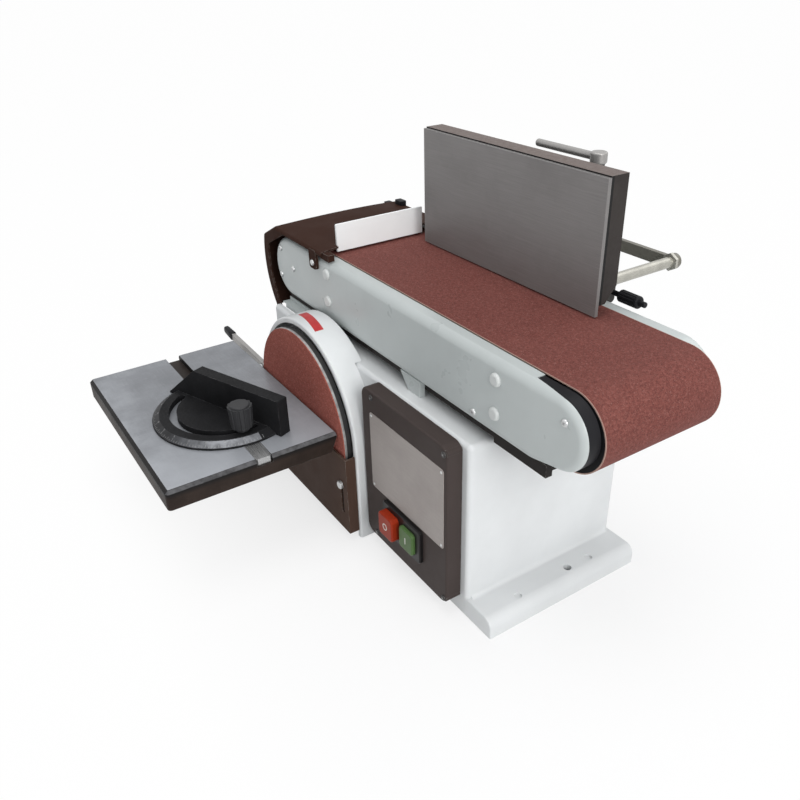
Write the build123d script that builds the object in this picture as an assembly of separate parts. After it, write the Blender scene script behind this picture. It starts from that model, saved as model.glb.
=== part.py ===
from build123d import *
import math
import os

# Combined belt and disc sander, millimetres.
# Origin at the centre of the base's underside, +X along the belt to the idler end,
# +Z up, front (disc and switch) towards -Y.

# Base casting
BASE_X = 227.0
BASE_Y = 111.0
BASE_TOP = 229.0
BASE_WALL = 8.0
FLANGE_X = 269.5
FLANGE_T = 24.5
FLANGE_ROUND = 12.0
FLANGE_ROOT = 5.0
BASE_CORNER = 6.0
BENCH_HOLE = (251.0, 19.0, 5.0)
DIMPLES = ((252.0, 52.0), (254.0, -59.0))
POCKET_X = -99.0
NOTCH_Z = 180.0
RIB_X = 8.0
RIB_Z = 16.0

# Sanding belt, drums and the arm's tilt axis
BELT_HALF = 75.0
BELT_T = 1.2
BELT_R = 40.6
DRUM_R = 40.3
DRUM_WALL_R = 34.0
DRIVE_X = -155.6
IDLER_X = 325.0
AXIS_Z = 287.6
SHAFT_R = 8.5
BEARING_R = 17.5
BEARING_L = 10.0
RUN_FIT = 0.05
SEAT_FIT = 0.02
TUBE_R = 24.0

# Motor and disc
MOTOR_X = -83.4
MOTOR_Z = 133.0
MOTOR_R = 54.0
MOTOR_WALL = 4.0
STATOR_R = 31.0
ROTOR_R = 30.5
BELL_FRONT = (-103.0, -85.0)
BELL_REAR = (60.0, 78.0)
CORE_Y = (-55.0, 30.0)
WINDING_L = 16.0
SHAFT_END = 147.5
DISC_R = 115.0
DISC_FACE = -150.6
GRIT_T = 1.2
DISC_T = 10.0
HUB_R = 25.0
HUB_BACK = -118.0

# Drive pulleys and V-belt at the rear
PULLEY_Y = (130.0, 146.0)
GROOVE_HALF = 5.0
VBELT_HALF = 4.0
VBELT_DEPTH = 3.5
MOTOR_PITCH = 32.0
DRUM_PITCH = 24.0
PEDESTAL_Y = (111.0, 121.0)
COVER_BACK = 152.0
COVER_WALL = 2.5
COVER_REACH = 12.0

# Disc guard and the lower guard plate
GUARD_R = 127.0
GUARD_BORE = 120.0
GUARD_FRONT = -141.0
GUARD_BACK = -111.0
GUARD_CREST = -101.5
GUARD_FOOT = 3.0
PLATE_X = (-207.0, 40.0)
PLATE_Z = (14.0, 126.0)
PLATE_FACE = -155.0
SHEET = 2.4
STUD_X = (26.0, -192.8)
STUD_Z = 84.0
STUD_R = 2.5
SLOT_Z = (40.0, 88.0)
LEVER_PIVOT = (-222.0, 139.0)
LEVER_END = (-357.0, 148.0)
LEVER_Y = (-143.0, -137.0)
LEVER_STUD_R = 4.0

# Switch box and buttons
BOX_X = (46.0, 215.0)
BOX_Z = (18.0, 228.0)
BOX_FACE = -131.0
SWITCH_X = (92.0, 170.0)
SWITCH_Z = (47.0, 93.0)
SWITCH_FACE = -136.0
SWITCH_BACK = -115.0
POCKET_BACK = -117.0
STOP_BOX = (97.0, 127.0, 53.0, 85.0)
STOP_FACE = -146.0
START_BOX = (133.0, 161.0, 54.0, 84.0)
START_FACE = -140.5
BUTTON_BACK = -122.0
BUTTON_GAP = 0.4

# Belt arm
BEAM_X = (-102.0, 248.0)
BEAM_Y = (-68.0, 78.0)
BEAM_Z = (262.0, 324.0)
BEAM_WALL = 6.0
ARM_PLATE_Y = (79.0, 90.0)
PLATEN_TOP = 328.0
CASING_R = 41.0
CASING_X = -199.0
CASING_BEND = 290.0
CASING_NOSE = (326.0, 291.2, 37.4)
CASING_Y = (76.5, 96.0)
CASING_WALL = 2.5
CASING_ROUND = 9.0
REAR_NOSE = (303.0, 287.6, 41.0)
NOSE_X = 288.5
NOSE_RUN = 40.0
NOSE_Y = (77.0, 86.0, 91.0)
DOMES = ((244.0, 309.5), (244.0, 272.5), (-86.5, 312.5), (-87.0, 276.5))
SMALL_SCREWS = ((211.5, 258.5), (337.0, 308.5), (-217.0, 311.0), (-221.5, 272.0), (-183.5, 290.5))
POST_R = 7.0
REST_LUG_X = (76.0, 92.0, 115.0)
HOOD_R = 113.0
HOOD_TOP = 345.5
HOOD_SPARE = 2.0
HOOD_FRONT = -104.0
HOOD_END_ANGLE = 216.8
HOOD_Y = 100.0
HOOD_TAB = (-94.0, -80.0, 329.6)
HOOD_TAB_Y = (73.0, 87.0, 96.0)
HOOD_LIP = 16.0
HOOD_RIM = 11.0
HOOD_SHOULDER = (-264.0, 320.0)
HOOD_RIDGE = -213.0
HOOD_BEND = 5.0
HOOD_CROWN = 700.0
HOOD_ROUND = 4.0
HOOD_LUG = (-115.5, 320.5)
STOP_PLATE = (-71.0, 58.0, 332.4, 367.0)
STOP_T = 3.0
PAN_END = 311.0
PAN_TOP = 270.0
PAN_Y = 88.0
PAN_R = 49.6
PAN_T = 2.5
PAN_SIDE = 8.0
PAN_DROP = (235.0, 232.0)

# Fence, its guide and the tracking knob
FENCE_X = (-72.0, 230.5)
FENCE_Y = (42.5, 69.6)
FENCE_Z = (331.4, 473.5)
FENCE_FACE_T = 4.0
FENCE_STEP = 11.6
FENCE_CUT = (55.0, 360.0)
ROD_X = (195.0, -40.0)
ROD_Z = 347.0
ROD_R = 6.25
ROD_BOSS_R = 11.0
ROD_END = 203.0
TIE_T = 6.0
TIE_Z = (337.5, 351.5)
TIE_BOSS_R = 8.5
GUIDE_X = (-55.0, 204.0)
GUIDE_Y = (80.0, 94.0)
GUIDE_Z = (339.5, 357.0)
CLAMP_XY = (156.0, 105.0)
CLAMP_Z = (463.0, 475.0)
CLAMP_ARM = 94.0
CLAMP_PIN_R = 4.0
TRACK_X = (176.0, 190.0)
KNOB_AXIS = (106.0, 332.0)
KNOB_R = 7.0
KNOB_X = (206.0, 233.0)
KNOB_TIP = (3.2, 241.0)
TRACK_SCREW_R = 3.0

# Work table, its hinge and the mitre gauge
TABLE_X = (-303.2, 18.0)
TABLE_Y = (-365.5, -152.4)
TABLE_CORNER = 5.0
TABLE_BEVEL = 4.0
TABLE_TOP = 155.0
TABLE_T = 14.0
SKIRT_Z = 129.6
SKIRT_T = 6.0
SKIRT_CUT = 8.0
SLOT_Y = -247.3
SLOT_W = 20.0
SLOT_DEPTH = 9.0
HINGE_YZ = (-170.0, 134.0)
HINGE_PIN_R = 3.0
CHEEK_X = (-172.0, -112.0)
CHEEK_T = 6.0
QUADRANT_T = 5.0
QUADRANT_R = 64.0
LOCK_R = 55.0
LOCK_ANGLE = 46.0
TILT_RANGE = 40.0
MITRE_PIVOT = (-109.0, -241.0)
MITRE_PIN_R = 3.0
MITRE_ANGLE = 21.4
MITRE_R = 92.5
MITRE_PLATE_T = 8.0
MITRE_BEVEL = 10.0
MITRE_LIP = 2.0
MITRE_BAR_X = (-190.0, 16.0)
MITRE_FENCE_X = (-44.3, 101.1)
MITRE_FENCE_FOOT = -99.6
MITRE_FENCE_Y = (-8.3, 7.7)
MITRE_FENCE_H = 48.0
MITRE_SWING = 75.0
MITRE_SLOT_HALF = 5.0
MITRE_KNOB_X = -42.3
MITRE_KNOB_R = 14.8
MITRE_KNOB_TOP = 199.0
MITRE_SCREW_R = 3.0
GAP = 0.3

# Back of the base
DUST_XZ = (100.0, 62.0)
DUST_BORE = 27.5
DUST_END = 150.0
GLAND_XZ = (180.0, 60.0)
GLAND_BORE = 4.0

# Fasteners: shank radius, head radius, head height
M6 = (3.0, 5.5, 4.0)
M5 = (2.5, 7.2, 3.2)
M4 = (2.0, 3.6, 1.8)
M3 = (1.5, 4.0, 1.9)
HOLE_FIT = 0.1
GUARD_BOLTS = ((-165.0, 60.0), (0.0, 60.0), (-83.4, 210.0))
MOTOR_BOLT_R = 46.0
PEDESTAL_BOLTS = ((-121.0, 133.0), (-46.0, 133.0), (-83.4, 95.0), (-87.0, 206.0))
COVER_POSTS = (0.4, 0.6)
BOX_SCREWS = ((69.0, 220.0), (210.0, 220.0), (69.0, 26.0), (210.0, 26.0))
GUIDE_LEGS = (-15.0, 160.0)
LEG_HALF = 12.0
LEG_FACE = 108.0
LEG_BOLT_Z = 308.0


def block(x0, x1, y0, y1, z0, z1):
    """Box from its lowest and highest corners."""
    return Pos((x0 + x1) / 2, (y0 + y1) / 2, (z0 + z1) / 2) * Box(x1 - x0, y1 - y0, z1 - z0)


def slab_x(sketch, x0, x1):
    """Solid of a Y-Z outline between two X planes."""
    return extrude(Plane((x0, 0, 0), x_dir=(0, 1, 0), z_dir=(1, 0, 0)) * sketch, amount=x1 - x0)


def slab_y(sketch, y0, y1):
    """Solid of an X-Z outline between two Y planes."""
    return extrude(Plane((0, y1, 0), x_dir=(1, 0, 0), z_dir=(0, -1, 0)) * sketch, amount=y1 - y0)


def slab_z(sketch, z0, z1):
    """Solid of an X-Y outline between two Z planes."""
    return extrude(Plane((0, 0, z0)) * sketch, amount=z1 - z0)


def disk(u, v, r):
    return Pos(u, v) * Circle(r)


def rect(u0, u1, v0, v1):
    return Pos((u0 + u1) / 2, (v0 + v1) / 2) * Rectangle(u1 - u0, v1 - v0)


def round_rect(u0, u1, v0, v1, r):
    return Pos((u0 + u1) / 2, (v0 + v1) / 2) * RectangleRounded(u1 - u0, v1 - v0, r)


def rod_x(y, z, r, x0, x1):
    return slab_x(disk(y, z, r), x0, x1)


def rod_y(x, z, r, y0, y1):
    return slab_y(disk(x, z, r), y0, y1)


def rod_z(x, y, r, z0, z1):
    return slab_z(disk(x, y, r), z0, z1)


def hull_of(*circles):
    """Outline stretched round circles given as (u, v, r)."""
    edges = []
    for u, v, r in circles:
        edges += disk(u, v, r).edges()
    return make_hull(edges)


def stadium(x0, x1, r):
    return hull_of((x0, AXIS_Z, r), (x1, AXIS_Z, r))


def dome_screw(x, z, face, size, reach, outward):
    """Screw along Y whose head stands on the plane y = face; outward is -1 or +1."""
    shank_r, head_r, head_h = size
    tip = face - outward * reach
    top = face + outward * head_h
    head = rod_y(x, z, head_r, min(face, top), max(face, top))
    rim = head.edges().filter_by(GeomType.CIRCLE).sort_by(Axis.Y)[0 if outward < 0 else -1]
    head = fillet(rim, head_h * 0.85)
    return head + rod_y(x, z, shank_r, min(face, tip), max(face, tip))


def screw_hole(x, z, size, y0, y1):
    return rod_y(x, z, size[0] + HOLE_FIT, y0, y1)


def polar(centre, r, degrees):
    a = math.radians(degrees)
    return (centre[0] + r * math.cos(a), centre[1] + r * math.sin(a))


def motor_bolt_points():
    return [polar((MOTOR_X, MOTOR_Z), MOTOR_BOLT_R, 45 + 90 * i) for i in range(4)]


def cover_post_points():
    """Two posts on the line between the pulleys, inside the V-belt's loop."""
    return [(MOTOR_X + t * (DRIVE_X - MOTOR_X), MOTOR_Z + t * (AXIS_Z - MOTOR_Z)) for t in COVER_POSTS]


def base_flange(side):
    """Bolt-down flange with a rounded outer edge and a small fillet against the body."""
    plate = block(0, FLANGE_X, -BASE_Y, BASE_Y, 0, FLANGE_T)
    outer = plate.edges().filter_by(Axis.Y).group_by(Axis.X)[-1]
    plate = fillet(outer.sort_by(Axis.Z)[-1], FLANGE_ROUND)
    plate = fillet(plate.edges().filter_by(Axis.X).group_by(Axis.Z)[-1], 1.5)
    r = FLANGE_ROOT
    top = FLANGE_T + r
    bend = r * (1 - math.sqrt(0.5))
    root = make_face(
        Polyline((BASE_X, top), (BASE_X - 2, top), (BASE_X - 2, FLANGE_T - 2)).edges()
        + Polyline((BASE_X - 2, FLANGE_T - 2), (BASE_X + r, FLANGE_T - 2), (BASE_X + r, FLANGE_T)).edges()
        + [ThreePointArc((BASE_X + r, FLANGE_T), (BASE_X + bend, FLANGE_T + bend), (BASE_X, top))]
    )
    flange = plate + slab_y(root, -BASE_Y + BASE_CORNER, BASE_Y - BASE_CORNER)
    x, y, r = BENCH_HOLE
    flange -= rod_z(x, y, r, -1, FLANGE_T + 1)
    for u, v in DIMPLES:
        flange -= rod_z(u, v, 4.5, FLANGE_T - 2, FLANGE_T + 1)
    flange -= block(-1, BASE_X - 4, -BASE_Y - 1, BASE_Y + 1, -1, FLANGE_T + 1)
    return flange if side > 0 else mirror(flange, about=Plane.YZ)


def base_casting():
    body = block(-BASE_X, BASE_X, -BASE_Y, BASE_Y, 0, BASE_TOP)
    body = fillet(body.edges().filter_by(Axis.Z), BASE_CORNER)
    body = fillet(body.faces().sort_by(Axis.Z)[-1].edges(), 5.5)
    body += base_flange(1)
    body += base_flange(-1)
    x_in = BASE_X - BASE_WALL
    y_in = BASE_Y - BASE_WALL
    body -= block(-x_in, x_in, -y_in, y_in, -1, BASE_TOP - BASE_WALL)
    body -= block(-x_in, POCKET_X, -y_in, y_in, BASE_TOP - 2 * BASE_WALL, BASE_TOP + 1)
    body -= block(-BASE_X - 1, -x_in + 1, -y_in, y_in, NOTCH_Z, BASE_TOP + 1)
    body += block(-RIB_X, RIB_X, -y_in - 1, y_in + 1, 0, RIB_Z)
    front = (-BASE_Y - 1, -y_in + 1)
    rear = (y_in - 1, BASE_Y + 1)
    body -= rod_y(MOTOR_X, MOTOR_Z, 20, *front)
    body -= rod_y(MOTOR_X, MOTOR_Z, 14, *rear)
    body -= rod_y(DUST_XZ[0], DUST_XZ[1], DUST_BORE, *rear)
    body -= rod_y(GLAND_XZ[0], GLAND_XZ[1], 8, *rear)
    body -= rod_y(130, 150, 10, *front)
    for x, z in (*GUARD_BOLTS, *motor_bolt_points()):
        body -= screw_hole(x, z, M6, *front)
    for x, z in BOX_SCREWS:
        body -= screw_hole(x, z, M4, *front)
    for x, z in PEDESTAL_BOLTS:
        body -= screw_hole(x, z, M6, *rear)
    return body


def guard_outline(r):
    return disk(MOTOR_X, MOTOR_Z, r) + rect(MOTOR_X - r, MOTOR_X + r, GUARD_FOOT, MOTOR_Z)


def disc_guard():
    """Arch round the disc, its crest over the base, a back plate and the lugs of two studs and the lever."""
    guard = slab_y(guard_outline(GUARD_R), GUARD_FRONT, GUARD_BACK)
    inner = guard_outline(GUARD_BORE) + rect(MOTOR_X - GUARD_BORE, MOTOR_X + GUARD_BORE, -1, MOTOR_Z)
    guard -= slab_y(inner, GUARD_FRONT - 1, GUARD_BACK - 3)
    guard -= rod_y(MOTOR_X, MOTOR_Z, 58, GUARD_BACK - 4, GUARD_BACK + 1)
    front_rim = guard.faces().sort_by(Axis.Y)[0].outer_wire().edges()
    arch = front_rim.filter_by(GeomType.CIRCLE).sort_by(SortBy.RADIUS)[-1]
    guard = fillet(arch, 3)
    ring = disk(MOTOR_X, MOTOR_Z, GUARD_R) - disk(MOTOR_X, MOTOR_Z, GUARD_BORE)
    above = rect(MOTOR_X - GUARD_R, MOTOR_X + GUARD_R, BASE_TOP + GAP, MOTOR_Z + GUARD_R)
    guard += slab_y(ring & above, GUARD_BACK - 3, GUARD_CREST)
    for x in STUD_X:
        side = 1 if x > MOTOR_X else -1
        wall = MOTOR_X + side * (GUARD_BORE + 1)
        tip = x - side * 4
        lug = block(min(wall, tip), max(wall, tip), -135, GUARD_BACK - 2, STUD_Z - 8, STUD_Z + 8)
        guard += lug - rod_y(x, STUD_Z, STUD_R + HOLE_FIT, -136, -120)
    x, z = LEVER_PIVOT
    lug = slab_y(hull_of((x, z, 10), (MOTOR_X - GUARD_R + 2, z, 16)), -132, -122)
    lug -= rod_y(x, z, LEVER_STUD_R + HOLE_FIT, -133, -121)
    lug -= slab_y(guard_outline(GUARD_R - 2), -133, -121)
    guard += lug
    for x, z in GUARD_BOLTS:
        guard -= screw_hole(x, z, M6, GUARD_BACK - 4, GUARD_BACK + 1)
    return guard


def m6_bolts():
    """Bolts of the guard, the motor and the pivot pedestal."""
    bolts = [dome_screw(x, z, GUARD_BACK - 3, M6, 11, -1) for x, z in GUARD_BOLTS]
    bolts += [dome_screw(x, z, -BASE_Y, M6, 20, -1) for x, z in motor_bolt_points()]
    bolts += [dome_screw(x, z, PEDESTAL_Y[1], M6, 18, 1) for x, z in PEDESTAL_BOLTS]
    return bolts


def m4_screws():
    """Screws of the switch box and the pulley cover."""
    screws = [dome_screw(x, z, BOX_FACE, M4, 27, -1) for x, z in BOX_SCREWS]
    screws += [dome_screw(x, z, COVER_BACK, M4, 18, 1) for x, z in cover_post_points()]
    return screws


def switch_box():
    box = slab_y(round_rect(*BOX_X, *BOX_Z, 12), BOX_FACE, -BASE_Y - GAP)
    box = fillet(box.faces().sort_by(Axis.Y)[0].edges(), 2.5)
    inner = round_rect(BOX_X[0] + 2, BOX_X[1] - 2, BOX_Z[0] + 2, BOX_Z[1] - 2, 10)
    box -= slab_y(inner, BOX_FACE + 2, -BASE_Y)
    box -= block(SWITCH_X[0] + 2, SWITCH_X[1] - 2, BOX_FACE - 1, BOX_FACE + 3, SWITCH_Z[0] + 2, SWITCH_Z[1] - 2)
    for x, z in BOX_SCREWS:
        box += rod_y(x, z, 5, BOX_FACE + 1, -BASE_Y - GAP)
        box -= screw_hole(x, z, M4, BOX_FACE - 1, -BASE_Y)
    return box


def switch_body():
    """Push-button switch: front frame, body behind the box and two button wells."""
    body = slab_y(round_rect(*SWITCH_X, *SWITCH_Z, 4), SWITCH_FACE, BOX_FACE)
    body = chamfer(body.faces().sort_by(Axis.Y)[0].edges(), 1.2)
    inset = 2 + HOLE_FIT
    body += block(SWITCH_X[0] + inset, SWITCH_X[1] - inset, BOX_FACE, SWITCH_BACK,
                  SWITCH_Z[0] + inset, SWITCH_Z[1] - inset)
    for x0, x1, z0, z1 in (STOP_BOX, START_BOX):
        well = round_rect(x0 - BUTTON_GAP, x1 + BUTTON_GAP, z0 - BUTTON_GAP, z1 + BUTTON_GAP, 5)
        body -= slab_y(well, SWITCH_FACE - 1, POCKET_BACK)
    return body


def button(outline, face):
    cap = slab_y(round_rect(*outline, 5), face, BUTTON_BACK)
    return fillet(cap.faces().sort_by(Axis.Y)[0].edges(), 2.2)


def motor_end_bells():
    bells = []
    for (y0, y1), seat in ((BELL_FRONT, 1), (BELL_REAR, -1)):
        bell = rod_y(MOTOR_X, MOTOR_Z, MOTOR_R, y0, y1)
        bell -= rod_y(MOTOR_X, MOTOR_Z, SHAFT_R + 1, y0 - 1, y1 + 1)
        seat_y = (y1 - BEARING_L, y1 + 1) if seat > 0 else (y0 - 1, y0 + BEARING_L)
        bell -= rod_y(MOTOR_X, MOTOR_Z, BEARING_R + SEAT_FIT, *seat_y)
        bells.append(bell)
    for x, z in motor_bolt_points():
        bells[0] -= screw_hole(x, z, M6, -104, -90)
    return bells


def motor_housing():
    shell = rod_y(MOTOR_X, MOTOR_Z, MOTOR_R, BELL_FRONT[1], BELL_REAR[0])
    return shell - rod_y(MOTOR_X, MOTOR_Z, MOTOR_R - MOTOR_WALL, BELL_FRONT[1] - 1, BELL_REAR[0] + 1)


def motor_stator():
    """Laminated ring with the end windings pressed against it."""
    r = MOTOR_R - MOTOR_WALL - SEAT_FIT
    ring = rod_y(MOTOR_X, MOTOR_Z, r, *CORE_Y)
    ring += rod_y(MOTOR_X, MOTOR_Z, 46, CORE_Y[0] - WINDING_L, CORE_Y[1] + WINDING_L)
    return ring - rod_y(MOTOR_X, MOTOR_Z, STATOR_R, CORE_Y[0] - 20, CORE_Y[1] + 20)


def bearing(x, z, y0):
    ring = rod_y(x, z, BEARING_R, y0, y0 + BEARING_L)
    return ring - rod_y(x, z, SHAFT_R + RUN_FIT, y0 - 1, y0 + BEARING_L + 1)


def shaft_bearings():
    """Two bearings of the motor shaft and two of the drive drum's shaft."""
    return [
        bearing(MOTOR_X, MOTOR_Z, BELL_FRONT[1] - BEARING_L),
        bearing(MOTOR_X, MOTOR_Z, BELL_REAR[0]),
        bearing(DRIVE_X, AXIS_Z, 81),
        bearing(DRIVE_X, AXIS_Z, 109),
    ]


def run_capacitor():
    can = rod_x(78, 180, 20, 40, 120)
    can = fillet(can.edges().filter_by(GeomType.CIRCLE), 3)
    return can + block(60, 100, 80, BASE_Y - BASE_WALL, 170, 190)


def pivot_pedestal():
    """Rear bracket with the tube that the arm turns on and the pulley cover's posts."""
    outline = hull_of(
        (MOTOR_X, MOTOR_Z, MOTOR_PITCH + COVER_REACH + 4), (DRIVE_X, AXIS_Z, DRUM_PITCH + COVER_REACH + 6)
    )
    bracket = slab_y(outline, *PEDESTAL_Y)
    bracket += rod_y(DRIVE_X, AXIS_Z, TUBE_R, ARM_PLATE_Y[0], PEDESTAL_Y[1])
    bracket -= rod_y(DRIVE_X, AXIS_Z, BEARING_R + SEAT_FIT, 78, PEDESTAL_Y[1] + 1)
    bracket -= rod_y(MOTOR_X, MOTOR_Z, 14, PEDESTAL_Y[0] - 1, PEDESTAL_Y[1] + 1)
    for x, z in cover_post_points():
        bracket += rod_y(x, z, 6, PEDESTAL_Y[1], COVER_BACK - COVER_WALL)
        bracket -= screw_hole(x, z, M4, 132, COVER_BACK)
    for x, z in PEDESTAL_BOLTS:
        bracket -= screw_hole(x, z, M6, PEDESTAL_Y[0] - 1, PEDESTAL_Y[1] + 1)
    return bracket


def pulley_cover():
    centres = (MOTOR_X, MOTOR_Z, MOTOR_PITCH + COVER_REACH + 4), (DRIVE_X, AXIS_Z, DRUM_PITCH + COVER_REACH + 6)
    cover = slab_y(hull_of(*centres), PEDESTAL_Y[1], COVER_BACK)
    cover = fillet(cover.faces().sort_by(Axis.Y)[-1].edges(), 6)
    inner = hull_of(*[(x, z, r - COVER_WALL) for x, z, r in centres])
    cover -= slab_y(inner, PEDESTAL_Y[1] - 1, COVER_BACK - 6)
    deeper = hull_of(*[(x, z, r - 2.5 * COVER_WALL) for x, z, r in centres])
    cover -= slab_y(deeper, PEDESTAL_Y[1] - 1, COVER_BACK - COVER_WALL)
    for x, z in cover_post_points():
        cover -= screw_hole(x, z, M4, COVER_BACK - 4, COVER_BACK + 1)
    return cover


def drive_belt():
    """V-belt loop round both pulleys."""
    outer = hull_of((MOTOR_X, MOTOR_Z, MOTOR_PITCH + VBELT_DEPTH), (DRIVE_X, AXIS_Z, DRUM_PITCH + VBELT_DEPTH))
    inner = hull_of((MOTOR_X, MOTOR_Z, MOTOR_PITCH - VBELT_DEPTH), (DRIVE_X, AXIS_Z, DRUM_PITCH - VBELT_DEPTH))
    middle = sum(PULLEY_Y) / 2
    return slab_y(outer - inner, middle - VBELT_HALF, middle + VBELT_HALF)


def pulley(x, z, pitch):
    wheel = rod_y(x, z, pitch + VBELT_DEPTH + 1, *PULLEY_Y)
    middle = sum(PULLEY_Y) / 2
    groove = disk(x, z, pitch + 20) - disk(x, z, pitch - VBELT_DEPTH - 0.5)
    wheel -= slab_y(groove, middle - GROOVE_HALF, middle + GROOVE_HALF)
    return wheel - rod_y(x, z, SHAFT_R + SEAT_FIT, PULLEY_Y[0] - 1, PULLEY_Y[1] + 1)


def dust_port():
    x, z = DUST_XZ
    port = rod_y(x, z, 42, BASE_Y, BASE_Y + 4) + rod_y(x, z, DUST_BORE + 2.5, BASE_Y, DUST_END)
    return port - rod_y(x, z, DUST_BORE, BASE_Y - 1, DUST_END + 1)


def cable_gland():
    x, z = GLAND_XZ
    gland = slab_y(Pos(x, z) * RegularPolygon(12, 6), BASE_Y, BASE_Y + 8)
    gland += rod_y(x, z, 9.5, BASE_Y + 8, BASE_Y + 20)
    gland = fillet(gland.edges().filter_by(GeomType.CIRCLE).sort_by(Axis.Y)[-1], 3)
    gland += rod_y(x, z, 7.9, BASE_Y - BASE_WALL - 6, BASE_Y)
    return gland - rod_y(x, z, GLAND_BORE, BASE_Y - 20, BASE_Y + 21)


def bracket_studs():
    """Two headed studs that the lower guard slides on and the clamp lever's pivot stud."""
    studs = []
    for x in STUD_X:
        stud = rod_y(x, STUD_Z, STUD_R, PLATE_FACE - GAP, -121)
        stud += rod_y(x, STUD_Z, 5.5, PLATE_FACE - 4, PLATE_FACE - GAP)
        studs.append(chamfer(stud.edges().filter_by(GeomType.CIRCLE).sort_by(Axis.Y)[0], 1))
    x, z = LEVER_PIVOT
    stud = rod_y(x, z, LEVER_STUD_R, LEVER_Y[0] - GAP, -122)
    stud += rod_y(x, z, 6.5, LEVER_Y[0] - 5, LEVER_Y[0] - GAP)
    stud += rod_y(x, z, 7.5, LEVER_Y[1] + GAP, -132)
    studs.append(chamfer(stud.edges().filter_by(GeomType.CIRCLE).sort_by(Axis.Y)[0], 1))
    return studs


def motor_shaft():
    return rod_y(MOTOR_X, MOTOR_Z, SHAFT_R, DISC_FACE + GRIT_T + DISC_T, SHAFT_END)


def rotor_core():
    core = rod_y(MOTOR_X, MOTOR_Z, ROTOR_R, *CORE_Y)
    return core - rod_y(MOTOR_X, MOTOR_Z, SHAFT_R + SEAT_FIT, CORE_Y[0] - 1, CORE_Y[1] + 1)


def motor_fan():
    """Cooling fan between the rear winding and the rear bell."""
    y0, y1 = CORE_Y[1] + WINDING_L + 2, BELL_REAR[0] - 2
    fan = rod_y(MOTOR_X, MOTOR_Z, 42, y1 - 2, y1) + rod_y(MOTOR_X, MOTOR_Z, 14, y0, y1)
    for i in range(8):
        blade = Pos(MOTOR_X, 0, MOTOR_Z) * Rot(0, 45 * i, 0) * block(12, 41, y0, y1, -1.25, 1.25)
        fan += blade
    return fan - rod_y(MOTOR_X, MOTOR_Z, SHAFT_R + SEAT_FIT, y0 - 1, y1 + 1)


def disc_plate():
    back = DISC_FACE + GRIT_T + DISC_T
    plate = rod_y(MOTOR_X, MOTOR_Z, DISC_R, DISC_FACE + GRIT_T, back)
    plate = chamfer(plate.edges().filter_by(GeomType.CIRCLE), 0.8)
    hub = rod_y(MOTOR_X, MOTOR_Z, HUB_R, back, HUB_BACK)
    return plate + hub - rod_y(MOTOR_X, MOTOR_Z, SHAFT_R + SEAT_FIT, back, HUB_BACK + 1)


def abrasive_disc():
    return rod_y(MOTOR_X, MOTOR_Z, DISC_R - 0.5, DISC_FACE, DISC_FACE + GRIT_T)


def drive_drum():
    """Cup-shaped drum: rim, rear web and a hub on the drive shaft."""
    drum = rod_y(DRIVE_X, AXIS_Z, DRUM_R, -BELT_HALF, BELT_HALF)
    drum -= rod_y(DRIVE_X, AXIS_Z, DRUM_WALL_R, -BELT_HALF - 1, BELT_HALF - 18)
    drum += rod_y(DRIVE_X, AXIS_Z, 16, 0, BELT_HALF)
    return drum - rod_y(DRIVE_X, AXIS_Z, SHAFT_R + SEAT_FIT, -1, BELT_HALF + 1)


def drive_shaft():
    return rod_y(DRIVE_X, AXIS_Z, SHAFT_R, 0, SHAFT_END)


def idler_drum():
    """Drum with a bearing web at each end."""
    drum = rod_y(IDLER_X, AXIS_Z, DRUM_R, -BELT_HALF, BELT_HALF)
    drum -= rod_y(IDLER_X, AXIS_Z, BEARING_R + SEAT_FIT, -BELT_HALF - 1, BELT_HALF + 1)
    for side in (-1, 1):
        groove = disk(IDLER_X, AXIS_Z, DRUM_WALL_R) - disk(IDLER_X, AXIS_Z, BEARING_R + 5)
        ends = sorted((side * (BELT_HALF - 12), side * (BELT_HALF + 1)))
        drum -= slab_y(groove, *ends)
    return drum


def idler_bearings():
    return [bearing(IDLER_X, AXIS_Z, -BELT_HALF), bearing(IDLER_X, AXIS_Z, BELT_HALF - BEARING_L)]


def idler_yoke():
    """Sliding fork: cross bar, two cheeks that hold the axle, and the spring's plunger."""
    z0, z1 = AXIS_Z - 14, AXIS_Z + 14
    yoke = block(262, 276, -84, 84, z0, z1)
    for y0, y1 in ((-84, -78), (78, 84)):
        cheek = rect(262, IDLER_X, z0, z1) + disk(IDLER_X, AXIS_Z, 14)
        yoke += slab_y(cheek, y0, y1)
    yoke += rod_x(0, AXIS_Z, 6, 215, 262) + rod_x(0, AXIS_Z, 9.5, 212, 215)
    return yoke - rod_y(IDLER_X, AXIS_Z, SHAFT_R + SEAT_FIT, -85, 85)


def idler_axle():
    return rod_y(IDLER_X, AXIS_Z, SHAFT_R, -86, 86)


def tension_spring():
    """Compression spring behind the plunger's collar, at its shortest working length."""
    return rod_x(0, AXIS_Z, 9, 200, 212) - rod_x(0, AXIS_Z, 6.5, 199, 213)


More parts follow.
